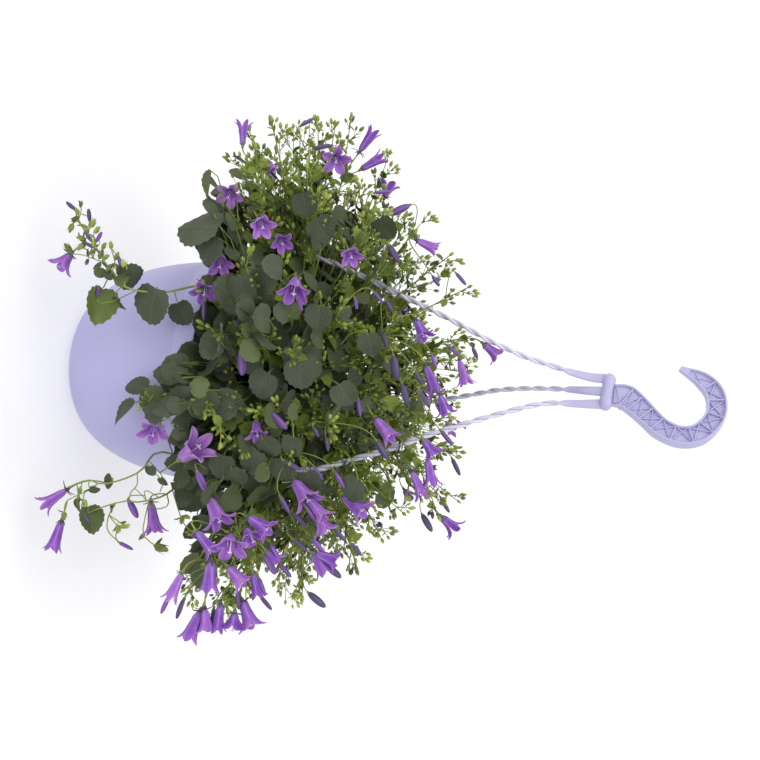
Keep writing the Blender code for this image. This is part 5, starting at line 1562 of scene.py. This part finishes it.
def leafModel(name, form, points, rings):  # a toothed blade one unit long, its stalk end at the origin
    leaf = addedDisc(points)
    leaf.name = name
    bpy.ops.object.mode_set(mode="EDIT")
    bpy.ops.mesh.select_all(action="SELECT")
    for _ in range(rings):
        bpy.ops.mesh.inset(thickness=0.36 / (rings + 1))
    bpy.ops.mesh.poke()
    bpy.ops.object.mode_set(mode="OBJECT")
    pick = draw(name)
    phase = pick.uniform(0.0, 6.0)
    step = 2.0 * math.pi / points
    for vertex in leaf.data.vertices:
        share = math.hypot(vertex.co.x, vertex.co.y) / 0.5
        angle = math.atan2(vertex.co.x, vertex.co.y)  # nothing at the tip, half a turn at the stalk
        reach = 0.5 + form["tip"] * math.exp(-((angle / 0.45) ** 2)) * share
        reach -= form["notch"] * math.exp(-(((abs(angle) - math.pi) / 0.50) ** 2)) * share
        if share > 0.9 and round(angle / step) % 2:
            reach *= 1.0 - form["teeth"] * pick.uniform(0.8, 1.2)
        x = reach * share * math.sin(angle) * form["width"]
        vertex.co = Vector((x, 0.5 - form["notch"] * 0.5 + reach * share * math.cos(angle), 0.0))
    layer = leaf.data.uv_layers[0]
    layer.name = "leafMap"
    for loop in leaf.data.loops:
        spot = leaf.data.vertices[loop.vertex_index].co
        layer.data[loop.index].uv = (spot.x / form["width"] + 0.5, spot.y)
    for vertex in leaf.data.vertices:
        x, y = vertex.co.x, vertex.co.y
        lift = form["cup"] * (abs(x) * 1.6) ** 1.4 - form["droop"] * y * y
        wave = form["wave"] * math.sin(3.0 * math.atan2(x, y - 0.5) + phase)
        vertex.co.z = lift + wave * (x * x + (y - 0.5) ** 2) * 4.0
    return closeBelow(leaf, leaves["thickness"])


def domeLeaf(index, attempt):
    way = domeDirection(index, *leaves["domeRise"], "leaf")
    pick = draw("leaf", index, attempt)
    twist = anyWay(pick)
    base = heartPoint(way) + (way + twist * 0.1).normalized() * pick.uniform(*leaves["domeReach"])
    base.z = max(base.z, leaves["lowestBase"])
    level = Vector((way.x, way.y, 0.0)).normalized()
    hang = 0.25 + 0.75 * (1.0 - way.z)
    direction = (level * 0.75 - up * hang * pick.uniform(0.4, 1.0) + twist * 0.35).normalized()
    normal = (way + up * 0.25 + twist * 0.2).normalized()
    return base, direction, normal, pick.uniform(*leaves["domeLength"])


def rimLeaf(index, attempt):
    pick = draw("rim leaf", index, attempt)
    turn = 2.0 * math.pi * (index + pick.uniform(-0.3, 0.3)) / leaves["rim"]
    level = Vector((math.sin(turn), -math.cos(turn), 0.0))
    base = level * pick.uniform(*leaves["rimReach"]) + up * pick.uniform(*leaves["rimHeight"])
    direction = (level - up * pick.uniform(-0.1, 0.25)).normalized()
    normal = (up + level * 0.3 + anyWay(pick) * 0.25).normalized()
    return base, direction, normal, pick.uniform(*leaves["rimLength"])


def fillingLeaf(layer, index, attempt):
    near, far, shortest, longest = leaves["layers"][layer][1:5]
    way = domeDirection(index, -6.0 if layer else 4.0, 88.0, f"leaf layer {layer}")
    pick = draw("filling leaf", layer, index, attempt)
    twist = anyWay(pick)
    base = crown + (way + twist * 0.12).normalized() * pick.uniform(near, far)
    lowest, higher = leaves["fillingBase"]
    base.z = max(base.z, lowest + higher * pick.random())
    level = Vector((way.x, way.y, 0.0)).normalized()
    hang = 0.15 + 0.75 * (1.0 - way.z)
    direction = (level * 0.7 - up * hang * pick.uniform(0.2, 1.0) + twist * 0.55).normalized()
    normal = (way * 1.1 + up * 0.35 + anyWay(pick) * 0.40).normalized()
    length = pick.uniform(shortest, longest) * (1.08 - 0.25 * way.z)
    return base, direction, normal, length


def seenLeaf(px, py, reach, kind, angle, away, length):
    middle = pointOnDome(px, py, reach) if kind == "dome" else pointInFront(px, py, reach)
    direction = aimed(angle, -0.4 * away)
    back = pictureDirections()[2]
    side = direction.cross(back).normalized()
    normal = (back * math.cos(math.radians(away)) + side * math.sin(math.radians(away))).normalized()
    length *= 0.001
    return middle - direction * (0.5 * length), direction, normal, length


def bladePoints(base, direction, normal, length):
    across = direction.cross(normal).normalized() * (0.4 * length)
    middle = base + direction * (0.55 * length)
    return base, base + direction * length, middle, middle + across, middle - across


def petiole(base, direction, pick):  # the leaf's thin stalk, back towards the heart of the plant
    inner = heartPoint((base - heartMiddle).normalized(), 0.75)
    way = inner - base
    end = base + way * min(1.0, pick.uniform(0.035, 0.060) / max(way.length, 0.001))
    bend = (base + end) / 2.0 - direction * (way.length * 0.08)
    points = [curvePoint(base + direction * 0.002, bend, end, share) for share in (0.0, 0.35, 0.7, 1.0)]
    radius = leaves["stalkRadius"]
    return points, [radius, radius, radius * 1.1, radius * 1.2], pick.uniform(0.0, 0.6)


def blocked(model, found):
    copy = model.copy()
    copy.data = model.data.copy()
    copy.data.transform(placed(*found))
    answer = crosses(copy)
    discard(copy)
    return answer


def makeLeaves():
    large, small = (
        [leafModel(f"{kind}{number}", form, *leaves[kind]) for number, form in enumerate(leafForms)]
        for kind in ("largeLeaf", "smallLeaf")
    )
    places = {model.name: [] for model in large + small}
    stalks = []

    def put(found, model, tone, pick):
        places[model.name].append((placed(*found), min(1.0, max(0.0, tone))))
        stalks.append(petiole(found[0], found[1], pick))

    def best(make, index):  # the try that the CAD foliage holds
        tries = [make(index, attempt) for attempt in range(attempts)]
        found = min(tries, key=lambda one: awayFromFoliage(one[0] + one[1] * one[3] * 0.45, one[0]))
        return found, awayFromFoliage(found[0] + found[1] * found[3] * 0.45)

    def putMatched(found, pick):
        base, direction, normal, length = found
        for share in leaves["trims"]:
            trimmed = (base, direction, normal, length * share)
            if not inTheWay(*bladePoints(*trimmed)):
                put(trimmed, large[pick.choice((0, 0, 1))], pick.uniform(0.05, 0.5), pick)
                return

    for index in range(leaves["rim"]):
        found, away = best(rimLeaf, index)
        if away < leaves["match"]:
            putMatched(found, draw("rim look", index))
    index = matched = 0
    while matched < leaves["dome"] and index < leaves["domeTries"]:
        found, away = best(domeLeaf, index)
        if away < leaves["match"]:
            putMatched(found, draw("dome look", index))
            matched += 1
        index += 1
    for index, (px, py, reach, kind, angle, away, length, form, tone) in enumerate(leaves["seen"]):
        found = seenLeaf(px, py, reach, kind, angle, away, length)
        root = min(trailSamples, key=lambda spot: (spot - found[0]).length)
        if kind == "front" and (root - found[0]).length < leaves["nearShoot"]:
            places[large[form].name].append((placed(*found), tone))
            bend = (root + found[0]) / 2.0 - found[1] * 0.003
            radii = leaves["shootStalk"]
            stalks.append((stemRoute(root, bend, found[0] + found[1] * 0.002, len(radii)), radii, 0.5))
        else:
            put(found, large[form], tone, draw("seen leaf", index))
    for layer, (count, *_, tone) in enumerate(leaves["layers"]):
        for index in range(count):
            pick = draw("filling look", layer, index)
            model = small[pick.choice((0, 0, 0, 1, 1, 2))]
            for attempt in range(leaves["layerTries"]):
                found = fillingLeaf(layer, index, attempt)
                if not inTheWay(*bladePoints(*found)) and not blocked(model, found):
                    put(found, model, pick.gauss(tone, 0.14), pick)
                    break
    for kind, models in (("large", large), ("small", small)):
        blades = [copiesOf(model, places[model.name], "leaves") for model in models if places[model.name]]
        finishPiece(joined(blades, f"{kind}_leaves"), leafGreen, ("foliage",))
        for model in models:
            discard(model)
    finishPiece(tubes(stalks, "leaf_stalks"), stemGreen, ("foliage",))


makeLeaves()
print("leaves made")


def budModel():  # a green bud with five calyx lobes pressed to it, one unit long
    bud = addedSphere(5, 4, 0.5)
    for vertex in bud.data.vertices:
        v = vertex.co.z + 0.5
        swell = (0.55 + 0.45 * math.cos(2.2 * (v - 0.35))) * 0.46
        vertex.co = Vector((vertex.co.x * swell, vertex.co.y * swell, v))
    lobe = added(bpy.ops.mesh.primitive_cone_add, vertices=3, radius1=0.085, radius2=0.0, depth=0.75)
    lobe.data.transform(Matrix.Diagonal((0.45, 1.0, 1.0, 1.0)))
    lobe.data.transform(Matrix.Translation((0.0, 0.0, 0.36)))
    lobe.data.transform(Matrix.Rotation(math.radians(9.0), 4, "Y"))
    lobe.data.transform(Matrix.Translation((0.19, 0.0, 0.22)))
    whole = joined([bud] + turnedCopies(lobe, 5), "budModel")
    smooth(whole, 50)
    return whole


def bractModel(width, bend):  # a narrow pointed leaf one unit long
    bract = addedDisc(8)
    bract.name = "bractModel"
    edit(bract, (bpy.ops.mesh.poke, {}))
    bract.data.uv_layers[0].name = "leafMap"
    for vertex in bract.data.vertices:
        x, y = vertex.co.x * width, vertex.co.y + 0.5
        vertex.co = Vector((x * (1.25 - 0.6 * y), y, 0.6 * abs(x) - bend * y * y))
    return closeBelow(bract, 0.035)


def violetBudModel(girth):  # a closed bud with five folds, one unit long
    bud = addedSphere(20, 12, 0.5)
    bud.data.uv_layers[0].name = "petalMap"
    for vertex in bud.data.vertices:
        v = vertex.co.z + 0.5
        angle = math.atan2(vertex.co.y, vertex.co.x)
        belly = girth * math.sin(math.pi * v ** 0.75) ** 0.42 * (0.72 + 0.28 * v)
        fold = 1.0 - 0.20 * abs(math.cos(2.5 * angle)) ** 3
        level = belly * fold if 0.001 < v < 0.999 else 0.0
        vertex.co = Vector((level * math.cos(angle), level * math.sin(angle), v))
    smooth(bud)
    return bud


def nearestInside(samples, end):  # where a stalk leaves the stems
    reach = (end - crown).length
    inner = [spot for spot in samples if (spot - crown).length < reach - 0.006]
    inner.append(heartPoint((end - heartMiddle).normalized(), 0.72))
    return min(inner, key=lambda place: (place - end).length)


def fillingSprays():
    lines = []
    tips = [line[2] for line in sprayLines]
    toEye = (eye - crown).normalized()
    index = 0
    while len(lines) < sprays["filling"] and index < sprays["fillingTries"]:
        way = domeDirection(index, *sprays["fillingRise"], "filling spray")
        pick = draw("filling spray", index)
        index += 1
        facing = way.dot(toEye) > sprays["facing"]
        tip = crown + way * pick.uniform(*sprays["facingReach" if facing else "fillingReach"])
        if min((tip - other).length for other in tips) < sprays["apart"]:
            continue
        if facing and pick.random() < sprays["facingLeftOut"]:
            continue
        root = heartPoint(way, heart["root"])
        bend = root.lerp(tip, 0.5) + up * (0.012 * (1.0 - way.z)) + anyWay(pick) * 0.010
        if inTheWay(tip, curvePoint(root, bend, tip, 0.85), curvePoint(root, bend, tip, 0.7)):
            continue
        tips.append(tip)
        lines.append([root, bend, tip])
    return lines


def makeSprays():
    stems, sideStems, bracts, smallLeaves = [], [], [], []
    greenBuds = {True: [], False: []}  # on the sprays placed by pixel, and on the filling ones
    samples, trailingSamples = [], []

    def addBud(base, way, size, tone, pick, seen):
        if not inTheWay(base, anywhere=seen):
            greenBuds[seen].append((pointed(base, way.normalized(), size, pick.uniform(0.0, 1.2)), tone))

    def addLeaf(spot, way, size, pick, seen=False):  # broad low on a stem, narrow higher up
        out = (way * 0.5 + anyWay(pick)).normalized()
        facing = ((spot - crown).normalized() + up * 0.4 + anyWay(pick) * 0.4).normalized()
        if inTheWay(spot, spot + out * size, anywhere=seen):
            return
        where = smallLeaves if size > sprays["broadFrom"] else bracts
        where.append((placed(spot, out, facing, size), pick.uniform(0.1, 1.0)))

    def addCluster(root, way, out, length, tone, pick, seen):  # a side stem and its buds
        tip = root + (way * 0.80 + out * 0.62).normalized() * length + up * (0.08 * length)
        bend = root + out * (0.35 * length) + way * (0.30 * length)
        points = stemRoute(root, bend, tip, 4)
        if inTheWay(tip, points[2], anywhere=seen):
            return
        sideStems.append((points, sprays["sideRadii"], tone))
        along, size = (tip - root).normalized(), sprays["budSize"]
        addBud(tip, tip - points[-2], size * pick.uniform(0.9, 1.25), tone, pick, seen)
        for number in range(sprays["budsOnSide"]):
            share = 0.30 + 0.22 * number
            spot = curvePoint(root, bend, tip, share)
            lean = Matrix.Rotation(nextTurn * number + pick.uniform(0.0, 1.5), 3, way) @ out
            aim = (along * 0.85 + lean * 0.55).normalized()
            end = spot + aim * (length * (0.78 - 0.62 * share)) + up * 0.001
            sideStems.append(([spot, end], sprays["budRadii"], tone))
            budTone = min(1.0, tone + pick.uniform(-0.2, 0.2))
            addBud(end, aim + up * 0.15, size * pick.uniform(0.7, 1.15), budTone, pick, seen)
            addLeaf(spot, aim, pick.uniform(0.004, 0.008), pick, seen)

    def dressStem(points, key, length, seen):  # side stems along its outer part, and a bud at the tip
        first = sprays["from"]
        route, whole = smoothRoute(points, 0.004)
        count = max(int(whole * (1.0 - first) / sprays["sideApart"]), 3)
        for number in range(count):
            pick = draw("side", key, number)
            share = first + (1.0 - first) * (number + pick.uniform(0.1, 0.6)) / count
            index = min(int(share * (len(route) - 1)), len(route) - 2)
            spot, way = route[index], (route[index + 1] - route[index]).normalized()
            level = way.cross(up if abs(way.z) < 0.9 else eyeRight).normalized()
            out = Matrix.Rotation(nextTurn * number + pick.uniform(0.0, 0.8), 3, way) @ level
            reach = length * (1.15 - 0.70 * number / count) * pick.uniform(0.75, 1.2)
            tone = min(1.0, max(0.0, pick.gauss(0.58, 0.22)))
            addCluster(spot, way, out, reach, tone, pick, seen)
            addLeaf(spot, way, mix(0.017, 0.007, number / count) * pick.uniform(0.8, 1.2), pick, seen)
        addBud(points[-1], points[-1] - points[-2], sprays["budSize"], 0.7, draw("tip", key), seen)

    for key, line in enumerate(sprayLines + fillingSprays()):
        seen = key < len(sprayLines)
        points = stemRoute(*line, sprays["points"])
        root, end, last = sprays["rootRadius"], sprays["tipRadius"], len(points) - 1
        girth = 1.0 if seen else 0.8
        radii = [mix(root, end, (step / last) ** 0.7) * girth for step in range(last + 1)]
        stems.append((points, radii, draw("stem", key).uniform(0.1, 0.8)))
        length = sprays["sideLength"] * (sprays["seenSides"] if seen else 1.0)
        dressStem(points, key, length, seen)
        samples.extend(points[3:-1])
        for number in range(sprays["stemLeaves"]):
            pick = draw("stem leaf", key, number)
            share = pick.uniform(sprays["from"], 0.85)
            spot = curvePoint(*line, share)
            addLeaf(spot, (line[2] - line[0]).normalized(), pick.uniform(0.010, 0.020), pick)
    for line in trailingLines:
        points = smoothRoute(line, 0.010)[0]
        root, end, last = sprays["rootRadius"], sprays["twigRadius"], len(points) - 1
        radii = [mix(root, end, step / last) for step in range(last + 1)]
        stems.append((points, radii, 0.6))
        samples.extend(points[3:])
        trailingSamples.extend(points[3:])
    for towards, *pixels in twigs:
        line = [pointInFront(px, py, towards) for px, py in pixels]
        line[0] = min(trailingSamples, key=lambda spot: (spot - line[0]).length)
        points = smoothRoute(line, 0.004)[0]
        sideStems.append((points, [sprays["twigRadius"]] * len(points), 0.7))
        samples.extend(points)
        trailingSamples.extend(points)
    for key, (px, py, towards, angle, size, tone) in enumerate(twigBuds):
        pick = draw("twig bud", key)
        way = aimed(angle, pick.uniform(-30.0, 30.0))
        size *= sprays["twigBudGrowth"]
        base = pointInFront(px, py, towards) - way * (0.0005 * size)
        root = min(trailingSamples, key=lambda spot: (spot - base).length)
        bend = (root + base) / 2.0 - way * 0.001
        sideStems.append((stemRoute(root, bend, base, 4), sprays["twigBudRadii"], 0.7))
        greenBuds[True].append((pointed(base, way, 0.001 * size, pick.uniform(0.0, 1.2)), tone))
        out = (way * 0.3 + anyWay(pick)).normalized()
        facing = (way + towardsEye).normalized()
        bracts.append((placed(root, out, facing, pick.uniform(0.006, 0.011)), tone))
    for key, (base, mouth, size, *_) in enumerate(bloomList):
        end = base - mouth * (0.05 * size)
        root = nearestInside(samples, end)
        bend = end - mouth * (0.4 * (end - root).length)
        radii = sprays["bloomRadii"]
        stems.append((stemRoute(root, bend, end, len(radii)), radii, draw("tone", key).uniform(0.1, 0.9)))
    violet, sleeves = {"slim": [], "fat": []}, []
    for key, (base, tipWay, length) in enumerate(budList):
        root = nearestInside(samples, base)
        bend = base - tipWay * (0.4 * (base - root).length)
        radii = sprays["violetBudRadii"]
        stems.append((stemRoute(root, bend, base, len(radii)), radii, 0.4))
        pick = draw("bud look", key)
        kind = "slim" if buds["slimFrom"] < length < buds["fatFrom"] else "fat"
        violet[kind].append((pointed(base, tipWay, length, pick.uniform(0.0, 1.2)), pick.random() ** 1.5))
        sleeves.append((pointed(base, tipWay, length, pick.uniform(0.0, 1.2)), pick.random()))

    finishPiece(tubes(stems, "main_stems", 1), stemGreen, ("foliage",))
    finishPiece(tubes(sideStems, "side_stems"), stemGreen, ("foliage",))
    for model, places, name, material, slot in (
        (budModel(), greenBuds[True], "green_buds", budGreen, "leaf_green"),
        (budModel(), greenBuds[False], "inner_buds", budGreen, "leaf_green"),
        (bractModel(0.36, 0.15), bracts, "bracts", bractGreen, "leaf_green"),
        (leafModel("stemLeaf", leafForms[2], 16, 0), smallLeaves, "stem_leaves", bractGreen, "leaf_green"),
        (violetBudModel(0.155), violet["slim"], "violet_buds", budViolet, "petal_violet"),
        (violetBudModel(0.210), violet["fat"], "opening_buds", budViolet, "petal_violet"),
        (calyxModel(0.1), sleeves, "bud_calyces", calyxGreen, "leaf_green"),
    ):
        finishPiece(copiesOf(model, places, name), material, ("foliage",))
        discard(model)
    print(f"{len(stems)} stems and {len(sideStems)} side stems")


makeSprays()
print("sprays made")

stage = {
    "floorDrop": 0.0004,
    "floorSize": 200.0,
    "floorColour": (0.50, 0.50, 0.52, 1.0),
    "floorGlow": 0.52,
    "white": (1.0, 1.0, 1.0, 1.0),
    "world": 0.95,
    "seenWorld": 1.05,  # its strength behind the object
    "sun": 1.15,
    "sunWidth": 50.0,
}


def makeStage():
    place = (0.0, 0.0, potFoot.z - stage["floorDrop"])
    floor = added(bpy.ops.mesh.primitive_plane_add, size=stage["floorSize"], location=place)
    floor.name = "floor"
    material, tree, surface = newMaterial("paleFloor")
    finishSurface(
        tree, surface, stage["floorColour"], 0.9, 0.0,
        Emission_Color=stage["white"], Emission_Strength=stage["floorGlow"],
    )
    floor.data.materials.append(material)
    world = bpy.data.worlds.new("softLight")
    world.use_nodes = True
    tree = world.node_tree
    background = tree.nodes["Background"]
    background.inputs["Color"].default_value = stage["white"]
    direct = addNode(tree, "LightPath").outputs["Is Camera Ray"]
    strength = rangeOf(tree, direct, 0.0, 1.0, stage["world"], stage["seenWorld"])
    tree.links.new(strength, background.inputs["Strength"])
    scene.world = world
    sun = bpy.data.lights.new("sun", "SUN")
    sun.energy = stage["sun"]
    sun.angle = math.radians(stage["sunWidth"])
    light = bpy.data.objects.new("sun", sun)
    light.rotation_euler = (up * 1.3 + towardsEye * 0.9 - eyeRight * 0.5).to_track_quat("Z", "Y").to_euler()
    scene.collection.objects.link(light)


def makeCamera():
    right, down, back = pictureDirections()
    data = bpy.data.cameras.new("pictureCamera")
    data.sensor_width = view["sensor"]
    data.lens = view["focal"] / (2.0 * view["middle"]) * data.sensor_width
    data.clip_start = view["nearest"]
    data.clip_end = view["farthest"]
    camera = bpy.data.objects.new("pictureCamera", data)
    turn = Matrix((right, -down, back)).transposed().to_4x4()
    camera.matrix_world = Matrix.Translation(eye + potFoot) @ turn
    scene.collection.objects.link(camera)
    scene.camera = camera


makeStage()
makeCamera()
scene.view_settings.view_transform = "Standard"

print("stage, light and camera made")
